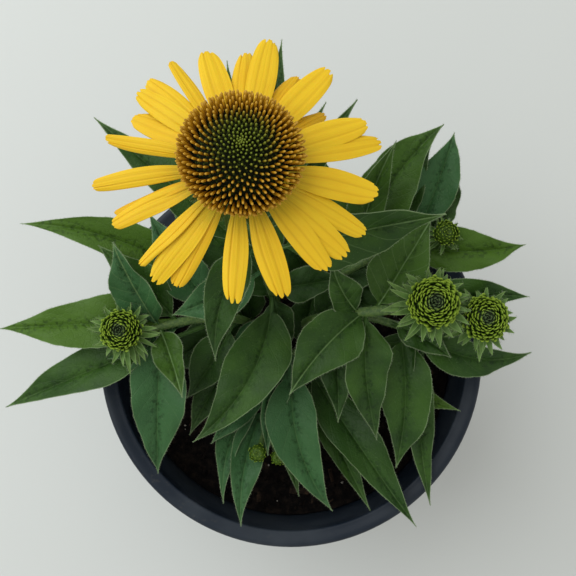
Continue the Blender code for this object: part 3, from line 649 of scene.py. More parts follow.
# Each leaf: the share up its stem, the place of its tip, its width, the share of it that is stalk, how far it
# arches up and bends sideways, its roll in degrees, and its look.
LEAVES = {
    "flower_stem": [
        (0.57, (-4, 126, 238), 17, 0.14, 12, 0, 0, "mid"),
        (0.54, (-27, 119, 232), 15, 0.14, 10, 3, 10, "mid"),
        (0.62, (27, 101, 236), 15, 0.14, 8, 0, -15, "mid"),
        (0.67, (14, 98, 242), 12, 0.14, 6, 0, 0, "mid"),
        (0.55, (-87, 101, 211), 20, 0.16, 14, 2, 10, "mid"),
        (0.59, (66, 56, 219), 25, 0.16, 12, -2, 38, "veined"),
        (0.63, (-33, -6, 205), 18, 0.1, 14, -11, -8, "painted_shade"),
        (0.5, (-54, 15, 191), 22, 0.14, 8, 4, 0, "blue"),
        (0.36, (-46, -43, 172), 27, 0.12, 20, 20, 6, "mid"),
        (0.28, (-33, -20, 164), 16, 0.2, 8, 2, 0, "blue"),
        (0.24, (-62, 82, 163), 25, 0.25, 26, 3, 0, "mid"),
        (0.2, (-28, 99, 158), 26, 0.25, 28, 0, 5, "mid"),
        (0.34, (-2, -3, 162), 16, 0.14, 6, 0, 0, "painted_shade"),
        (0.3, (-26, 54, 166), 22, 0.1, 6, 0, 0, "painted_shade"),
        (0.37, (25, 34, 170), 17, 0.14, 8, 0, 0, "painted_shade"),
    ],
    "twin_bud_stem": [
        (0.76, (-1, -21, 184), 25, 0.05, 13, -5, 5, "rib"),
        (0.77, (40, -42, 172), 21, 0.08, 16, -6, -12, "mid"),
        (0.74, (18, 37, 203), 15, 0.1, 5, 4, 0, "veined"),
        (0.8, (63, 58, 199), 26, 0.1, 6, 0, -16, "light veined"),
        (0.6, (22, -34, 170), 16, 0.15, 8, 3, 0, "painted_shade"),
        (0.45, (36, 34, 157), 20, 0.14, 5, 0, 0, "painted_shade"),
        (0.4, (34, 8, 152), 20, 0.14, 5, 0, 0, "painted_shade"),
        (0.82, (110, 24, 184), 19, 0.2, 8, 5, 12, "mid"),
    ],
    "side_branch": [
        (0.47, (33, -25, 160), 22, 0.06, 0, 3, 22, "veined"),
        (0.37, (50, -56, 161), 26, 0.12, 13, 6, 0, "mid"),
        (0.56, (68, -75, 150), 14, 0.2, 4, -8, -10, "mid"),
        (0.45, (115, -1, 166), 17.5, 0.08, 10, -17, 8, "mid"),
        (0.28, (73, -4, 185), 15, 0.16, 5, 3, 0, "mid"),
    ],
    "left_bud_stem": [
        (0.48, (-126, 58, 185), 20, 0.28, 20, -22, -10, "fresh_and_backlit"),
        (0.86, (-78.5, 46, 206), 21, 0.08, 5, 3, -25, "blue veined"),
        (0.79, (-88, 47, 191), 20, 0.1, 5, -2, -10, "mid"),
        (0.76, (-138, 10, 172), 25, 0.14, 16, 0, 6, "fresh_and_backlit"),
        (0.7, (-109, -6, 167), 18, 0.18, 10, 0, 12, "blue"),
        (0.6, (-137, -27, 162), 21, 0.32, 24, 0, 14, "mid"),
        (0.85, (-64, -59, 157), 27, 0.1, 18, 0, 0, "blue"),
        (0.86, (-49, -22, 190), 14, 0.1, 8, 2, 0, "light rib"),
        (0.56, (-51, -23, 156), 20, 0.16, 10, 4, 0, "painted_shade"),
        (0.42, (-50, -41, 149), 19, 0.2, 14, 0, 0, "painted_shade"),
        (0.62, (-66, 63, 186), 22, 0.15, 10, 4, 0, "blue"),
        (0.36, (-64, 43, 160), 22, 0.18, 10, 0, 0, "painted_shade"),
        (0.3, (-39, 2, 150), 15, 0.16, 6, 0, 0, "painted_shade"),
        (0.33, (-54, 22, 152), 19, 0.16, 6, 0, 0, "painted_shade"),
        (0.5, (-65, -9, 157), 21, 0.16, 6, 0, 0, "painted_shade"),
        (0.3, (-27, 44, 152), 19, 0.16, 6, 0, 0, "painted_shade"),
    ],
    "upper_bud_stem": [
        (0.6, (46, 90, 212), 17, 0.15, 8, 6, 0, "light veined"),
        (0.6, (69, 101, 200), 28, 0.2, 13, 12, -14, "light"),
        (0.68, (65, 94, 188), 16, 0.2, 8, 0, 0, "painted_shade"),
        (0.86, (77, 102, 183), 21, 0.16, 12, -1, 0, "blue"),
        (0.9, (79, 88, 175), 15, 0.16, 6, -3, 10, "mid"),
        (0.8, (110, 49, 180), 21, 0.12, 11, -8, 10, "fresh_and_backlit"),
        (0.36, (12, 102, 160), 25, 0.25, 28, 0, 0, "mid"),
        (0.4, (46, 84, 157), 23, 0.22, 20, 0, 0, "mid"),
        (0.28, (57, 22, 158), 20, 0.18, 8, 0, 0, "painted_shade"),
        (0.25, (-3, 60, 160), 24, 0.14, 8, 0, 0, "painted_shade"),
        (0.4, (46, 18, 158), 22, 0.1, 5, 0, 0, "painted_shade"),
        (0.45, (46, 44, 162), 19, 0.1, 5, 0, 0, "painted_shade"),
    ],
    "front_left_shoot": [
        (0.66, (-24, -84, 156), 17, 0.12, 5, -9, 0, "blue"),
        (0.5, (-33, -74, 150), 14, 0.12, 14, -15, 10, "blue"),
        (0.46, (-39, -45, 154), 16, 0.16, 12, 0, 0, "blue"),
        (0.42, (4, -72, 139), 14, 0.18, 12, 0, 0, "painted_shade"),
    ],
    "front_right_shoot": [
        (0.86, (20, -77, 155), 24, 0.14, 18, -18, 0, "blue"),
        (0.7, (60, -84, 157), 22, 0.16, 12, -2, -8, "painted_shade"),
        (0.52, (39, -78, 147), 15, 0.2, 12, -3, 0, "mid"),
        (0.46, (29, -63, 140), 14, 0.2, 10, 0, 0, "painted_shade"),
        (0.92, (-11, -50, 162), 12, 0.1, 4, -9, -14, "blue"),
        (0.72, (82, -29, 158), 20, 0.2, 10, 0, 0, "fresh_and_backlit"),
        (0.6, (60, -6, 156), 20, 0.14, 10, 0, 0, "painted_shade"),
        (0.5, (-47, 0, 147), 21, 0.16, 6, 0, 0, "painted_shade"),
        (0.5, (13, 35, 148), 21, 0.16, 6, 0, 0, "painted_shade"),
        (0.55, (-30, -33, 145), 18, 0.16, 6, 0, 0, "painted_shade"),
    ],
}
UP = Vector((0, 0, 1))
leaf_draw = random.Random(3)


def leaf_width_at(share):
    """A leaf's half width as a share of its greatest, from the blade's foot (0) to its long point (1)."""
    rise = min(1, share / 0.3)
    fall = max(0, (share - 0.3) / 0.7)
    return (0.14 + 0.86 * math.sin(rise * math.pi / 2) ** 0.85) * math.cos(fall * math.pi / 2) ** 1.35


def blank_sheet(name, steps, columns, skin):
    """A flat strip with a thin edge, -1 to 1 each way, that leaves or petals are shaped from."""
    bpy.ops.object.select_all(action="DESELECT")
    bpy.ops.mesh.primitive_grid_add(x_subdivisions=steps, y_subdivisions=columns, size=2)
    piece = settle(bpy.context.object, name)
    apply_modifier(piece, "SOLIDIFY", thickness=skin * MM, offset=-1)
    return piece


def reading(tree, name):
    """What was written at each point of a mesh, for its finish to read."""
    return add_node(tree, "Attribute", {}, attribute_name=name).outputs["Fac"]


def write_reading(piece, name, values):
    """Write a value at each point of a piece, for its finish to read."""
    piece.data.attributes.new(name, "FLOAT", "POINT").data.foreach_set("value", values)


def leaf_finish():
    made, tree, shader = new_finish("leaf_finish")
    place = object_place(tree)
    cloud = noise_value(tree, place, 60, 4)
    fine = noise_value(tree, place, 1400, 2)
    wrinkle = noise_value(tree, place, 430, 4, 0.65)
    colour = mixed(tree, stepped(tree, cloud, 0.3, 0.7), LEAF_DEEP_TONE_AND_SHADE, LEAF_MID)
    # Partly painted light: fresh young leaves get a lighter yellow green, which also stands in for daylight
    # glowing through them.
    colour = mixed(tree, reading(tree, "fresh_and_backlit"), colour, LEAF_FRESH_AND_BACKLIT)
    colour = mixed(tree, reading(tree, "blue"), colour, LEAF_BLUE)
    # Painted shade: the lowest leaves are darkened towards the deep green, as the shade between the stems.
    colour = mixed(tree, reading(tree, "painted_shade"), colour, LEAF_DEEP_TONE_AND_SHADE)
    near_rib = stepped(tree, reading(tree, "rib_mm"), 0.8, 5, 1, 0.12)
    # Painted shade in the wrinkles beside the midrib: they are darkened here as well as sunk in the relief.
    shaded_wrinkles = calc(tree, "MULTIPLY", stepped(tree, wrinkle, 0.48, 0.66), near_rib)
    colour = mixed(tree, calc(tree, "MULTIPLY", shaded_wrinkles, 0.6), colour, LEAF_WRINKLE_SHADE)
    under = reading(tree, "under")
    colour = mixed(tree, under, colour, LEAF_UNDER)
    chart = add_node(tree, "SeparateXYZ", {"Vector": tree.nodes.new("ShaderNodeUVMap").outputs[0]})
    across = calc(tree, "ABSOLUTE", calc(tree, "SUBTRACT", calc(tree, "MULTIPLY", chart.outputs[1], 2), 1))
    lean = calc(tree, "MULTIPLY", calc(tree, "POWER", across, VEIN_CURVE), VEIN_LEAN)
    wander = calc(tree, "MULTIPLY", noise_value(tree, place, 90, 1), 0.03)
    row = calc(tree, "ADD", calc(tree, "SUBTRACT", chart.outputs[0], lean), wander)
    beat = calc(tree, "PINGPONG", calc(tree, "MULTIPLY", row, VEIN_PAIRS), 0.5)
    side_vein = stepped(tree, beat, 0.012, 0.05, 1, 0)
    rib = stepped(tree, reading(tree, "rib_mm"), 0.1, 0.5, 1, 0)
    veined = reading(tree, "veined")
    pale = calc(tree, "MULTIPLY", calc(tree, "MAXIMUM", calc(tree, "MULTIPLY", side_vein, 0.3), rib), veined)
    pale = calc(tree, "MAXIMUM", pale, calc(tree, "MULTIPLY", rib, reading(tree, "ribbed")))
    colour = mixed(tree, calc(tree, "MULTIPLY", pale, 0.7), colour, VEIN_PALE)
    edge_mm = calc(tree, "ADD", reading(tree, "edge_mm"), calc(tree, "MULTIPLY", fine, 0.3))
    colour = mixed(tree, stepped(tree, edge_mm, 0.2, 0.55, 0.6, 0), colour, EDGE_PALE)
    down = stepped(tree, fine, 0.62, 0.74, 0, 0.12)
    colour = mixed(tree, down, colour, EDGE_PALE)
    coat(tree, shader, colour, stepped(tree, cloud, 0.3, 0.7, 0.42, 0.55), 0.2)
    net = add_node(tree, "TexVoronoi", {"Vector": place, "Scale": 420}, feature="DISTANCE_TO_EDGE").outputs[0]
    relief = calc(tree, "MULTIPLY", stepped(tree, net, 0, 0.12), 0.5)
    relief = calc(tree, "ADD", relief, calc(tree, "MULTIPLY", fine, 0.25))
    relief = calc(tree, "SUBTRACT", relief, calc(tree, "MULTIPLY", side_vein, 0.5))
    relief = calc(tree, "SUBTRACT", relief, calc(tree, "MULTIPLY", shaded_wrinkles, 1.4))
    set_relief(tree, shader, relief, 0.5, 0.0003)
    return made


def bent_copy(blank, name, curve, side_hint, shape):
    """A copy of a flat blank, bent along a curve from its root by its middle to its tip. For each point,
    shape gives how far it lies sideways, upward and ahead in millimetres, how much thicker than the blank it
    is there, and what its finish reads."""
    root, middle, tip = curve
    piece = blank.copy()
    piece.data = blank.data.copy()
    piece.name = piece.data.name = name
    bpy.context.scene.collection.objects.link(piece)
    stations = {}
    readings = {}
    for vert in piece.data.vertices:
        t = (vert.co.x + 1) / 2
        station = round(t, 5)
        if station not in stations:
            centre = root * (1 - t) ** 2 + middle * 2 * t * (1 - t) + tip * t * t
            along = ((middle - root) * (1 - t) + (tip - middle) * t).normalized()
            side = (side_hint - along * side_hint.dot(along)).normalized()
            stations[station] = (centre, along, side, along.cross(side))
        centre, along, side, normal = stations[station]
        sideways, upward, ahead, swell, marks = shape(t, vert.co.y)
        marks["under"] = 1.0 if vert.co.z < -0.1 * MM else 0.0
        place = centre + side * sideways * MM + along * ahead * MM
        vert.co = place + normal * (upward * MM + vert.co.z * swell)
        for key, value in marks.items():
            readings.setdefault(key, []).append(value)
    for key, values in readings.items():
        write_reading(piece, key, values)
    return piece


def lay_leaf(blank, name, root, row):
    """One leaf, from its stem to its tip."""
    _, tip, width, stalk, arch, bend, roll, look = row
    # The outline swings in and out in its own way on every leaf.
    outline = tip[0] * 0.37 + tip[1] * 0.11
    tip = Vector(tip) * MM
    level = Vector((tip.x - root.x, tip.y - root.y, 0)).normalized()
    left = UP.cross(level)
    middle = (root + tip) / 2 + UP * arch * MM + left * bend * MM
    side_hint = Matrix.Rotation(math.radians(roll), 3, (tip - root).normalized()) @ left
    phase = leaf_draw.uniform(0, math.tau)
    beats = leaf_draw.uniform(2.4, 3.6) * math.tau
    seed = leaf_draw.uniform(0, 50)
    words = look.split()
    flat = {
        "fresh_and_backlit": 0.85 if "fresh_and_backlit" in words else 0.35 if "light" in words else 0.0,
        "blue": 0.8 if "blue" in words else 0.0,
        "painted_shade": 0.6 if "painted_shade" in words else 0.0,
        "veined": 1.0 if "veined" in words else 0.22,
        "ribbed": 1.0 if "rib" in words else 0.2,
    }

    def shape(t, column):
        across = math.copysign(abs(column) ** 1.25, column)
        rim = abs(across)
        share = (t - stalk) / (1 - stalk)
        half = width / 2 * leaf_width_at(share) if share > 0 else 0
        half *= 1 + LEAF_UNEVEN * math.sin((8 * t + 2 if across > 0 else 7 * t) + outline)
        half *= 1 + LEAF_RAGGED * noise.noise(Vector((t * 22, seed + (3 if across > 0 else 0), 0)))
        half = max(half, min(STALK_HALF, 4 * (1.02 - t)))
        # Folds and waves die away where the blade narrows into its stalk and its point.
        blade = min(1, half / 6)
        lift = half * LEAF_FOLD * (1.12 * rim - 0.12 * rim ** 4)
        wave = LEAF_WAVE * math.sin(beats * t + phase + (0.9 if across > 0 else 0)) * rim ** 2.5
        sink = RIB_SINK * math.exp(-((rim * half / 0.8) ** 2))
        vein_beat = abs(math.sin(math.pi * (t - VEIN_LEAN * rim ** VEIN_CURVE) * VEIN_PAIRS))
        quilt = QUILT_RISE * vein_beat * math.sin(math.pi * min(1, rim * 1.02))
        buckle = LEAF_BUCKLE * noise.noise(Vector((t * 4, across * 1.3, seed)))
        swell = 1 + RIB_SWELL * math.exp(-((rim * half / 0.9) ** 2))
        marks = {"rib_mm": rim * half, "edge_mm": (1 - rim) * half if share > 0 else 2.0, **flat}
        return across * half, lift + (wave - sink + quilt + buckle) * blade, 0, swell, marks

    return bent_copy(blank, name, (root, middle, tip), side_hint, shape)


def edge_hairs(leaf, stalk):
    """Places for the short pale hairs along both edges of a blade, pointing out and a little forward."""
    row = LEAF_STEPS + 1
    spots = [vert.co.copy() for vert in leaf.data.vertices[:row * (LEAF_COLUMNS + 1)]]
    places = []
    for start, inward in ((0, row), (row * LEAF_COLUMNS, -row)):
        for step in range(round(stalk * LEAF_STEPS) + 1, LEAF_STEPS):
            here, ahead = spots[start + step], spots[start + step + 1]
            out = (here - spots[start + step + inward]).normalized()
            for _ in range(EDGE_HAIRS):
                spot = here.lerp(ahead, leaf_draw.random())
                lean = (out + (ahead - here).normalized() * leaf_draw.uniform(0, 1)).normalized()
                places.append(standing(spot, lean, EDGE_HAIR * MM, leaf_draw.uniform(0.4, 0.8) * MM))
    return places


def build_leaves():
    blank = blank_sheet("leaf_blank", LEAF_STEPS, LEAF_COLUMNS, LEAF_SKIN)
    finish = leaf_finish()
    made = {}
    hairs = {}
    for name, rows in LEAVES.items():
        path = stem_path(name)
        trunk = GROWN_FROM.get(name, name)
        for number, row in enumerate(rows):
            root, _ = point_along(path, row[0])
            leaf = lay_leaf(blank, f"{name}_leaf_{number}", root, row)
            made.setdefault(trunk, []).append(leaf)
            hairs.setdefault(trunk, []).extend(edge_hairs(leaf, row[3]))
    bpy.data.objects.remove(blank)
    for trunk, leaves in made.items():
        foliage = joined(trunk + "_leaves", leaves)
        smooth(foliage, 60)
        dress(foliage, finish, "leaf_green", trunk)
        dress(hair_copies(trunk + "_leaf_down", hairs[trunk]), HAIR_FINISH, "leaf_green")


build_leaves()

# Ray petals: two dozen yellow straps in two layers, held under the cone by a green ring. Each has two
# lengthwise grooves that end in notches at its rounded, toothed tip, and some are rolled on their side and
# look narrow. The head leans a little.
HEAD_CENTRE = Vector((-18.2, 60.8, 286)) * MM
HEAD_LEAN = math.radians(7)
HEAD_LEAN_COMPASS = 60
PETAL_ROOT = 12.5
PETAL_STEPS = 44
PETAL_COLUMNS = 18
PETAL_SKIN = 0.4
PETAL_FOOT = 0.36
PETAL_WIDEST = 0.6
TIP_ROUND = 0.25
TIP_RAGGED = 0.9
GROOVES_AT = (-0.36, 0.33)
GROOVE_DEPTH = 0.2
RIDGE_RISE = 0.09
TOOTH_AT = 0.02
PETAL_LEMON = (0.80, 0.535, 0.018)
PETAL_GOLD = (0.74, 0.42, 0.010)
# The groove colour is painted shade in the petals' grooves.
PETAL_GROOVE_SHADE = (0.52, 0.27, 0.005)
# The root green is partly the petals' own tinge and partly painted shade under the cone.
PETAL_ROOT_GREEN_AND_SHADE = (0.27, 0.25, 0.02)
PETAL_UNDER = (0.62, 0.42, 0.04)
# Each petal: its compass degrees, its reach from the head's axis, its width, the height of its tip on the
# head, its roll in degrees, the depth of its notches, and how golden it is.
PETALS = [
    (78, 53.4, 10.8, -7, 0, 1.4, 0.1), (88.8, 48.4, 8.6, -9.5, 4, 1.6, 0.35),
    (105.5, 49, 10.6, -7, -4, 0.9, 0.1), (121, 49.3, 5.8, -6, 18, 0.2, 0.2),
    (134.2, 49.5, 8.8, -8, 0, 0.5, 0.1), (141.4, 48.5, 8.6, -6.5, -6, 0.9, 0),
    (151.5, 44.7, 10, -9, 0, 0.3, 0.3), (166.5, 50.6, 5.8, -8, -26, 0.5, 0.2),
    (186, 53.3, 6.8, -7, -20, 0.4, 0.2), (198, 47.4, 5.8, -11, 36, 0.6, 0.95),
    (203.7, 49.7, 7.6, -8, 6, 0.4, 0.3), (224.5, 49.6, 6, -7, 26, 1.2, 0.3),
    (233.5, 50.9, 9.2, -8.5, 0, 1.5, 0.1), (241, 47.9, 8.6, -10, -8, 1.4, 0.5),
    (267.4, 48.7, 8.8, -7, 0, 1.7, 0.2), (288.8, 48.7, 10, -8, 0, 1.8, 0.3),
    (311.2, 47.9, 9.4, -7, 4, 1.2, 0.2), (321.8, 49.4, 10.2, -8.5, 0, 1.4, 0.05),
    (335, 50.4, 8.6, -10.5, 0, 1.2, 0.1), (351.8, 50.7, 11.4, -7, 0, 1, 0.1),
    (14, 54, 9.2, -9, 0, 1.3, 0.15), (24.4, 50.8, 10.6, -7, 0, 1, 0.1), (51.6, 52.5, 10.8, -7, 0, 1.5, 0.15),
    (61.8, 44.4, 8.6, -10, 0, 0.8, 0.7), (39, 40, 6, -11, 0, 0.6, 0.8),
]
petal_draw = random.Random(9)


def compass(degrees):
    """The level direction at so many degrees from +X, towards +Y."""
    return Vector((math.cos(math.radians(degrees)), math.sin(math.radians(degrees)), 0))


HEAD_TILT = Matrix.Rotation(HEAD_LEAN, 4, UP.cross(compass(HEAD_LEAN_COMPASS)))
HEAD_POSE = Matrix.Translation(HEAD_CENTRE) @ HEAD_TILT


def lay_petal(blank, name, row):
    """One petal on the head's own axes, from under the cone to its notched tip."""
    degrees, reach, width, drop, roll, notch, gold = row
    out = compass(degrees)
    root = (out * PETAL_ROOT - UP * 1.6) * MM
    middle = (out * reach * 0.58 + UP * (drop * 0.12 - 0.4)) * MM
    tip = (out * reach + UP * drop) * MM
    side_hint = Matrix.Rotation(math.radians(roll), 3, out) @ UP.cross(out)
    seed = petal_draw.uniform(0, 50)
    lean = petal_draw.uniform(-1, 1)
    depths = [petal_draw.uniform(0.5, 1.2) for _ in range(3)]

    def shape(t, across):
        rim = abs(across)
        grown = math.sin(min(1, t / PETAL_WIDEST) * math.pi / 2) ** 1.25
        narrowed = max(0, (t - PETAL_WIDEST) / (1 - PETAL_WIDEST))
        half = width / 2 * (PETAL_FOOT + (1 - PETAL_FOOT) * grown - 0.34 * narrowed ** 2)
        # How far the tip falls short of the petal's reach: round at its sides, ragged, and notched.
        ragged = abs(noise.noise(Vector((across * 5, seed, 1))))
        cut = TIP_ROUND * width * rim ** 2.4 + 0.9 * lean * across + TIP_RAGGED * ragged
        groove = 0
        for place, share in zip(GROOVES_AT, depths):
            beside = across - place - 0.1 * lean
            groove += math.exp(-((beside / 0.07) ** 2))
            cut += 1.25 * notch * share * math.exp(-((beside / 0.11) ** 2))
        cut += 0.3 * notch * depths[2] * math.exp(-(((across - TOOTH_AT) / 0.1) ** 2))
        groove *= min(1, t * 3)
        ridges = RIDGE_RISE * math.cos(across * 21 + seed) * min(1, t * 4)
        edge = -0.9 * rim ** 3 * t * (1 + 0.6 * lean * across)
        sway = 1.1 * noise.noise(Vector((t * 2.2, across * 0.6, seed)))
        upward = ridges - GROOVE_DEPTH * groove + edge + sway * t
        sideways = across * half + 0.9 * noise.noise(Vector((t * 1.6, 4, seed))) * t
        marks = {"groove": groove, "far": t, "gold": gold}
        return sideways, upward, -cut * t ** 9, 1, marks

    return bent_copy(blank, name, (root, middle, tip), side_hint, shape)


def petal_finish():
    made, tree, shader = new_finish("petal_finish")
    chart = tree.nodes.new("ShaderNodeUVMap").outputs[0]
    lengthwise = add_node(tree, "Mapping", {"Vector": chart, "Scale": (1.6, 26, 1)}).outputs[0]
    streak = noise_value(tree, lengthwise, 1, 3)
    cloud = noise_value(tree, object_place(tree), 90, 3)
    gold = calc(tree, "ADD", reading(tree, "gold"), stepped(tree, cloud, 0.4, 0.8, 0, 0.3))
    colour = mixed(tree, gold, PETAL_LEMON, PETAL_GOLD)
    colour = mixed(tree, stepped(tree, streak, 0.5, 0.72, 0, 0.4), colour, PETAL_GOLD)
    # Painted shade: the grooves are darkened as the shade that lies in them.
    colour = mixed(tree, calc(tree, "MULTIPLY", reading(tree, "groove"), 0.42), colour, PETAL_GROOVE_SHADE)
    # Partly painted shade: the petals' feet have a real green tinge with dark lines, and are darkened further
    # as the shade under the cone.
    rooted_and_shaded = stepped(tree, reading(tree, "far"), 0.12, 0.44, 0.65, 0)
    root_lines_and_shade = calc(tree, "MULTIPLY", rooted_and_shaded, stepped(tree, streak, 0.4, 0.6, 0.35, 1))
    colour = mixed(tree, root_lines_and_shade, colour, PETAL_ROOT_GREEN_AND_SHADE)
    colour = mixed(tree, calc(tree, "MULTIPLY", reading(tree, "under"), 0.6), colour, PETAL_UNDER)
    coat(tree, shader, colour, 0.55, 0.2)
    shader.inputs["Subsurface Weight"].default_value = 0.12
    shader.inputs["Subsurface Radius"].default_value = (0.9, 0.5, 0.05)
    shader.inputs["Subsurface Scale"].default_value = 0.001
    set_relief(tree, shader, streak, 0.3, 0.0003)
    return made


def build_petals():
    blank = blank_sheet("petal_blank", PETAL_STEPS, PETAL_COLUMNS, PETAL_SKIN)
    petals = [lay_petal(blank, f"petal_{number}", row) for number, row in enumerate(PETALS)]
    bpy.data.objects.remove(blank)
    corolla = joined("ray_petals", petals)
    corolla.data.transform(HEAD_POSE)
    smooth(corolla, 60)
    dress(corolla, petal_finish(), "petal_yellow", "flower_ray_petals")
    section = [(7.4, -3), (14, -3), (15, -2.2), (15, -1), (14, -0.5), (7.4, -0.5), (7.4, -3)]
    ring = turned("petal_ring", section, 64)
    ring.data.transform(HEAD_POSE)
    smooth(ring)
    dress(ring, STEM_FINISH, "leaf_green")


build_petals()

# The cone: a dark ball of packed disc florets, with a stiff blunt scale standing out by each of them, in a
# golden-angle spiral. The scales are short and olive green at the top, long and orange round the sides.
CONE_RADIUS = 17.7
CONE_WAIST = 9
CONE_TOP = 22.5
CONE_LOWEST = -0.5
CONE_SKIRT = 0.8
CORE_INSET = 0.7
PEG_RADIUS = 7
PEG_FOOT = -2.9
CONE_SPINES = 600
SPINE_CROWDING = 1.5
SPINE_AT_TOP = 1.8
SPINE_AT_RIM = 6.5
SPINE_SINK = 0.6
SPINE_THICK = 0.39
SPINE_THICKER = 0.2
SPINE_UPRIGHT = 0.95
SPINE_UPRIGHT_MORE = 0.3
SPINE_STRAY = 0.045
CONE_DARK = (0.006, 0.008, 0.002)
CONE_GREEN = (0.045, 0.062, 0.006)
SPINE_TIP = (0.54, 0.30, 0.03)
SPINE_ORANGE = (0.48, 0.235, 0.006)
SPINE_BROWN = (0.28, 0.11, 0.005)
SPINE_OLIVE = (0.15, 0.19, 0.016)
GOLDEN_ANGLE = math.radians(137.508)
spine_draw = random.Random(21)


def spiral_seats(count, radius, waist, top, lowest, crowding):
    """Seats in a golden-angle spiral over a dome in millimetres, from its top down past its widest ring. Each
    comes with its level, which is 1 at the top and 0 at that ring."""
    for number in range(count):
        level = 1 - ((number + 0.5) / count) ** crowding * (1 - lowest)
        flat = radius * math.sqrt(1 - level * level)
        turn = number * GOLDEN_ANGLE
        yield Vector((flat * math.cos(turn), flat * math.sin(turn), waist + (top - waist) * level)), level


def pointed_blank(name, sides, rings):
    """A slim scale of unit length, raised from a flat base, ring by ring, to a point."""
    bpy.ops.object.select_all(action="DESELECT")
    bpy.ops.mesh.primitive_circle_add(vertices=sides, radius=rings[0][0], fill_type="NGON")
    piece = bpy.context.object
    bpy.ops.object.mode_set(mode="EDIT")
    bpy.ops.mesh.select_all(action="SELECT")
    for (radius, height), (next_radius, next_height) in zip(rings, rings[1:]):
        step = (0, 0, next_height - height)
        bpy.ops.mesh.extrude_region_move(TRANSFORM_OT_translate={"value": step})
        bpy.ops.transform.resize(value=(next_radius / radius, next_radius / radius, 1))
    bpy.ops.mesh.select_all(action="SELECT")
    bpy.ops.mesh.normals_make_consistent(inside=False)
    bpy.ops.object.mode_set(mode="OBJECT")
    return settle(piece, name)


def raised_copies(blank, name, places, values):
    """Copies of an upright blank. Each point reads how far up its copy it lies, and that copy's own value."""
    rises = [vert.co.z for vert in blank.data.vertices]
    made = copies_of(blank, name, places)
    write_reading(made, "rise", rises * len(places))
    write_reading(made, "outer", [value for value in values for _ in rises])
    return made


def cone_finish():
    made, tree, shader = new_finish("cone_finish")
    rise = reading(tree, "rise")
    outer = reading(tree, "outer")
    olive = mixed(tree, stepped(tree, rise, 0.15, 0.8), CONE_DARK, SPINE_OLIVE)
    warm = mixed(tree, stepped(tree, rise, 0.12, 0.42), CONE_DARK, SPINE_BROWN)
    warm = mixed(tree, stepped(tree, rise, 0.36, 0.74), warm, SPINE_ORANGE)
    warm = mixed(tree, stepped(tree, rise, 0.74, 0.96), warm, SPINE_TIP)
    colour = mixed(tree, stepped(tree, outer, 0.04, 0.34), olive, warm)
    coat(tree, shader, colour, 0.5, 0.25)
    set_relief(tree, shader, noise_value(tree, object_place(tree), 2200, 2), 0.3, 0.0001)
    return made


def core_finish():
    made, tree, shader = new_finish("cone_core_finish")
    cells = add_node(tree, "TexVoronoi", {"Vector": object_place(tree), "Scale": 900}).outputs[0]
    colour = mixed(tree, stepped(tree, cells, 0.15, 0.5), CONE_GREEN, CONE_DARK)
    coat(tree, shader, colour, 0.8, 0.1)
    set_relief(tree, shader, cells, 0.8, 0.0006)
    return made


def build_cone():
    section = [(0, PEG_FOOT), (PEG_RADIUS, PEG_FOOT), (PEG_RADIUS, -0.1)]
    section.append((CONE_RADIUS * CONE_SKIRT - 0.4, -0.1))
    lowest = math.asin(CONE_LOWEST)
    for step in range(21):
        turn = lowest + (math.pi / 2 - lowest) * step / 20
        height = CONE_WAIST + (CONE_TOP - CONE_WAIST - CORE_INSET) * math.sin(turn)
        section.append(((CONE_RADIUS - CORE_INSET) * math.cos(turn), height))
    section[-1] = (0, CONE_TOP - CORE_INSET)
    core = turned("cone_core", section, 72)
    core.data.transform(HEAD_POSE)
    smooth(core)
    dress(core, core_finish(), "cone_bronze", "flower_cone")
    places = []
    outers = []
    seats = spiral_seats(CONE_SPINES, CONE_RADIUS, CONE_WAIST, CONE_TOP, CONE_LOWEST, SPINE_CROWDING)
    for seat, level in seats:
        high = max(0, level)
        upright = SPINE_UPRIGHT + SPINE_UPRIGHT_MORE * high
        out = Vector((seat.x / CONE_RADIUS, seat.y / CONE_RADIUS, upright)).normalized()
        out = (out + Vector(spine_draw.gauss(0, SPINE_STRAY) for _ in range(3))).normalized()
        length = SPINE_AT_RIM + (SPINE_AT_TOP - SPINE_AT_RIM) * high ** 1.3 + spine_draw.uniform(-0.3, 0.05)
        thick = SPINE_THICK + SPINE_THICKER * (1 - high)
        stood = standing(seat - out * SPINE_SINK, out, thick, length + SPINE_SINK)
        places.append(Matrix.Scale(MM, 4) @ stood)
        outers.append(1 - level)
    rings = [(0.8, 0), (0.9, 0.4), (1.0, 0.8), (0.86, 0.93), (0.4, 1)]
    spines = raised_copies(pointed_blank("spine", 6, rings), "cone_spines", places, outers)
    spines.data.transform(HEAD_POSE)
    smooth(spines, 60)
    dress(spines, cone_finish(), "cone_bronze", "flower_cone")


build_cone()

# Green cups and bracts: under the bloom and each bud the stem widens into a shallow cup, ringed by narrow
# downy bracts. Those of the bloom hang down under its petals, and those of the buds stand out all round.
BRACT_STEPS = 14
BRACT_COLUMNS = 6
BRACT_SKIN = 0.35
BLOOM_BRACTS = 30
BLOOM_BRACT_START = 8
BLOOM_BRACT_REACH = 21
BLOOM_BRACT_WIDTH = 3.4
BLOOM_BRACT_DROP = 4.2
BLOOM_CUP_DEPTH = 5.2
BUD_BRACT_START = 0.45
BUD_CUP_SHARE = 0.72
BUD_CUP_DEPTH = 3.1
BRACT_GREEN = (0.085, 0.18, 0.028)
BRACT_PALE = (0.22, 0.34, 0.11)
BRACT_HAIRS = 22
BRACT_HAIR = 0.06
BRACT_TURN = 137.5
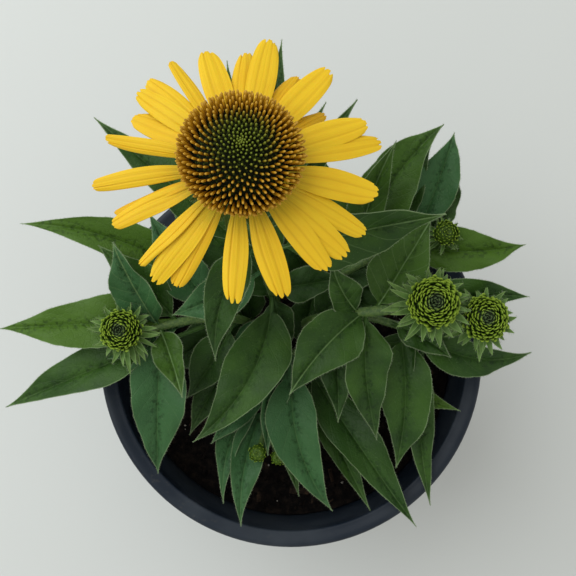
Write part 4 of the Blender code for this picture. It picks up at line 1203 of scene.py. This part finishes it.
# Each bud: the stem it ends, its centre in millimetres, the radius and height of its florets, how many
# florets and bracts it has, how far its bracts reach, and the compass degrees of the side where they reach
# furthest.
BUDS = {
    "near_bud": ("twin_bud_stem", (61.5, 19, 208), 11.7, 8.8, 220, 34, 18, 205),
    "far_bud": ("twin_bud_stem", (86, 13, 197.5), 10.5, 8.2, 200, 30, 15.5, 245),
    "left_bud": ("left_bud_stem", (-76.5, 8, 192.5), 9.6, 7.6, 170, 32, 15.5, 300),
    "upper_bud": ("upper_bud_stem", (71, 53, 188), 6.2, 5.6, 70, 14, 9.5, 220),
}
LONG_SIDE = 0.3
bract_draw = random.Random(13)


def bract_finish():
    made, tree, shader = new_finish("bract_finish")
    cloud = noise_value(tree, object_place(tree), 320, 3)
    colour = mixed(tree, stepped(tree, cloud, 0.35, 0.7), BRACT_GREEN, LEAF_MID)
    colour = mixed(tree, stepped(tree, reading(tree, "far"), 0.3, 1, 0, 0.45), colour, BRACT_PALE)
    colour = mixed(tree, stepped(tree, reading(tree, "edge_mm"), 0.05, 0.35, 0.8, 0), colour, BRACT_PALE)
    coat(tree, shader, colour, 0.65, 0.3)
    set_relief(tree, shader, noise_value(tree, object_place(tree), 2400, 2), 0.4, 0.0002)
    return made


BRACT_FINISH = bract_finish()


def lay_bract(blank, name, base, out, start, reach, width, rise):
    """One narrow bract, and the places of the hairs along its edges. Base and reach are in millimetres."""
    root = (base + out * start) * MM
    tip = (base + out * reach + UP * rise) * MM
    middle = (root + tip) / 2 + (out - UP) * MM
    seed = bract_draw.uniform(0, 50)
    curl = bract_draw.uniform(-2.4, 2.4)

    def narrowing(t):
        return (1 - t ** 2.6) ** 0.85

    def shape(t, across):
        half = width / 2 * (0.75 + 0.3 * math.sin(t * math.pi)) * narrowing(t) + 0.06
        upward = 0.45 * half * abs(across) + 0.4 * noise.noise(Vector((t * 3, across, seed)))
        return across * half + curl * t * t, upward, 0, 1, {"far": t, "edge_mm": (1 - abs(across)) * half}

    piece = bent_copy(blank, name, (root, middle, tip), UP.cross(out), shape)
    hairs = []
    for _ in range(BRACT_HAIRS):
        t = bract_draw.uniform(0.2, 1)
        hand = bract_draw.choice((-1, 1))
        side = UP.cross(out) * hand
        spot = root * (1 - t) ** 2 + middle * 2 * t * (1 - t) + tip * t * t
        spot += UP.cross(out) * (hand * width * 0.42 * narrowing(t) + curl * t * t) * MM
        lean = (side + out * bract_draw.uniform(0.1, 1) + UP * bract_draw.uniform(-0.2, 0.7)).normalized()
        hairs.append(standing(spot, lean, BRACT_HAIR * MM, bract_draw.uniform(0.8, 1.6) * MM))
    return piece, hairs


def place_cup(name, section, sides, pose, stem):
    """The cup of the bloom or of a bud, put in its place."""
    cup = turned(name + "_cup", section, sides)
    cup.data.transform(pose)
    smooth(cup)
    dress(cup, BRACT_FINISH, "leaf_green", stem)


def place_ruff(name, bracts, hairs, pose, stem):
    """All the bracts of the bloom or of a bud as one piece and their hairs as another, put in their place."""
    ruff = joined(name + "_bracts", bracts)
    ruff.data.transform(pose)
    smooth(ruff, 60)
    dress(ruff, BRACT_FINISH, "leaf_green", stem)
    down = hair_copies(name + "_bract_down", hairs)
    down.data.transform(pose)
    dress(down, HAIR_FINISH, "leaf_green")


def build_bracts():
    blank = blank_sheet("bract_blank", BRACT_STEPS, BRACT_COLUMNS, BRACT_SKIN)
    section = [(0, -9), (3, -9), (6, -8.2), (10.6, -5.6), (12.3, -3.9), (12.4, -3.3), (0, -3.3)]
    place_cup("bloom", section, 48, HEAD_POSE, "flower_stem")
    bracts = []
    hairs = []
    for number in range(BLOOM_BRACTS):
        out = compass(number * BRACT_TURN + 4)
        droop = -BLOOM_BRACT_DROP - 2.6 * (number % 3) / 2
        reach = BLOOM_BRACT_REACH - 2 * (number % 2)
        base = -UP * BLOOM_CUP_DEPTH
        label = f"bloom_bract_{number}"
        piece, down = lay_bract(
            blank, label, base, out, BLOOM_BRACT_START, reach, BLOOM_BRACT_WIDTH, droop
        )
        bracts.append(piece)
        hairs += down
    place_ruff("bloom", bracts, hairs, HEAD_POSE, "flower_stem")
    for name, (stem, centre, radius, _, _, count, reach, long_side) in BUDS.items():
        centre = Vector(centre)
        wide = radius * BUD_CUP_SHARE
        section = [(0, -5.2), (2.2, -5.2), (wide * 0.7, -4.4), (wide * 0.96, -2.9)]
        section += [(wide, -1.9), (wide * 0.97, -1.5), (0, -1.5)]
        place_cup(name, section, 40, Matrix.Translation(centre * MM), stem)
        bracts = []
        hairs = []
        for number in range(count):
            out = compass(number * BRACT_TURN + 20)
            stretch = 1 + LONG_SIDE * max(0, out.dot(compass(long_side)))
            length = reach * bract_draw.uniform(0.72, 1.03) * stretch
            width = radius * bract_draw.uniform(0.2, 0.34)
            rise = bract_draw.uniform(-2.6, 3)
            base = centre - UP * BUD_CUP_DEPTH
            label = f"{name}_bract_{number}"
            piece, down = lay_bract(blank, label, base, out, radius * BUD_BRACT_START, length, width, rise)
            bracts.append(piece)
            hairs += down
        place_ruff(name, bracts, hairs, Matrix.Identity(4), stem)
    bpy.data.objects.remove(blank)


build_bracts()

# Bud florets: each bud is a low dome of closed florets in tight spiral rows, every one a broad bent scale.
# They are yellow green, with painted light on their tips and painted shade at their feet between them, and
# lean in towards a small sunk grey middle.
# The dark is painted shade between the florets, and the lime is their yellow green with painted light on the
# tips.
FLORET_GAP_SHADE = (0.008, 0.020, 0.002)
FLORET_GREEN = (0.060, 0.125, 0.008)
FLORET_LIME_AND_LIT = (0.25, 0.37, 0.030)
FLORET_GREY = (0.075, 0.115, 0.060)
FLORET_BOW = 1.3
FLORET_LENGTH = 0.24
FLORET_WIDTH = 0.105
FLORET_THICK = 0.033
FLORET_INWARD = 0.55
FLORET_UPWARD = 0.2
FLORET_STRAY = 0.17
FLORET_LOWEST = 0.03
FLORET_CROWDING = 1.04
DOME_SHARE = 0.9
DOME_RISE = 0.82
SEAT_RISE = 0.92
SEAT_SINK = 0.93
DIMPLE_SHARE = 0.24
DIMPLE_DEPTH = 0.2
YOUNG_RADIUS = 6.5
SMALL_BUD_FLORETS = 34
SMALL_BUD_HEIGHT = 0.9
SMALL_BUDS = {"small_bud_near": ((-16, -49, 157.5), 4.8), "small_bud_far": ((-6, -51, 157.5), 4.2)}
floret_draw = random.Random(17)


def floret_finish():
    made, tree, shader = new_finish("floret_finish")
    rise = reading(tree, "rise")
    outer = reading(tree, "outer")
    # Painted shade at the foot of each scale and painted light at its tip, over the florets' own green.
    colour = mixed(tree, stepped(tree, rise, 0.3, 0.7), FLORET_GAP_SHADE, FLORET_GREEN)
    colour = mixed(tree, stepped(tree, rise, 0.6, 0.95), colour, FLORET_LIME_AND_LIT)
    colour = mixed(tree, stepped(tree, outer, 0.03, 0.14, 0.85, 0), colour, FLORET_GREY)
    coat(tree, shader, colour, 0.5, 0.25)
    set_relief(tree, shader, noise_value(tree, object_place(tree), 2600, 2), 0.3, 0.0001)
    return made


def build_florets(name, centre, radius, height, count, node, slot, finish):
    """One bud's dome and the florets on it."""
    wide = radius * DOME_SHARE

    def dimple(flat):
        """How far the middle of the bud is sunk, so far out from its axis."""
        return height * DIMPLE_DEPTH * math.exp(-((flat / (radius * DIMPLE_SHARE)) ** 2))

    section = [(0, -1.2), (radius * 0.35, -1.2), (radius * 0.35, -0.1), (wide * 0.86, -0.1)]
    for step in range(17):
        turn = math.pi / 32 * step
        flat = wide * SEAT_SINK * math.cos(turn)
        section.append((flat, height * DOME_RISE * math.sin(turn) - dimple(flat)))
    section[-1] = (0, section[-1][1])
    core = turned(name + "_core", section, 36)
    places = []
    outers = []
    for seat, level in spiral_seats(count, wide, 0, height * SEAT_RISE, FLORET_LOWEST, FLORET_CROWDING):
        flat = Vector((seat.x, seat.y, 0))
        outward = flat.normalized()
        around = UP.cross(outward)
        seat.z -= dimple(flat.length)
        normal = Vector((seat.x / wide, seat.y / wide, 0.15 + level)).normalized()
        out = normal - outward * FLORET_INWARD + UP * FLORET_UPWARD
        out = (out + Vector(floret_draw.gauss(0, FLORET_STRAY) for _ in range(3))).normalized()
        grown = 0.45 + 0.55 * min(1, flat.length / (wide * 0.5))
        length = radius * FLORET_LENGTH * grown * floret_draw.uniform(0.7, 1.2)
        across = (around - out * around.dot(out)).normalized()
        turn = Matrix((across, out.cross(across), out)).transposed().to_4x4()
        stretch = Matrix.Diagonal((radius * FLORET_WIDTH * grown, radius * FLORET_THICK * grown, length, 1))
        spot = Vector(centre) + seat * SEAT_SINK
        places.append(Matrix.Scale(MM, 4) @ Matrix.Translation(spot) @ turn @ stretch)
        # Only an older bud is grey in its middle.
        outers.append(1 - level if radius > YOUNG_RADIUS else 1)
    rings = [(0.9, 0), (1.05, 0.4), (0.95, 0.72), (0.6, 0.92), (0.2, 1)]
    scale = pointed_blank("floret", 8, rings)
    for vert in scale.data.vertices:
        vert.co.y += FLORET_BOW * vert.co.x ** 2
    florets = raised_copies(scale, name + "_floret_points", places, outers)
    for key, value in (("outer", 1), ("rise", 0.6 if radius < YOUNG_RADIUS else 0.4)):
        write_reading(core, key, [value] * len(core.data.vertices))
    core.data.transform(Matrix.Translation(Vector(centre) * MM))
    for piece in (core, florets):
        smooth(piece, 60)
    dress(core, finish, slot, node)
    dress(florets, finish, slot, node)


def build_buds():
    finish = floret_finish()
    for name, (_, centre, radius, height, count, *_) in BUDS.items():
        build_florets(name, centre, radius, height, count, name + "_florets", "floret_green", finish)
    for name, (centre, radius) in SMALL_BUDS.items():
        height = radius * SMALL_BUD_HEIGHT
        count = SMALL_BUD_FLORETS
        build_florets(name, centre, radius, height, count, "front_left_shoot", "leaf_green", finish)


build_buds()
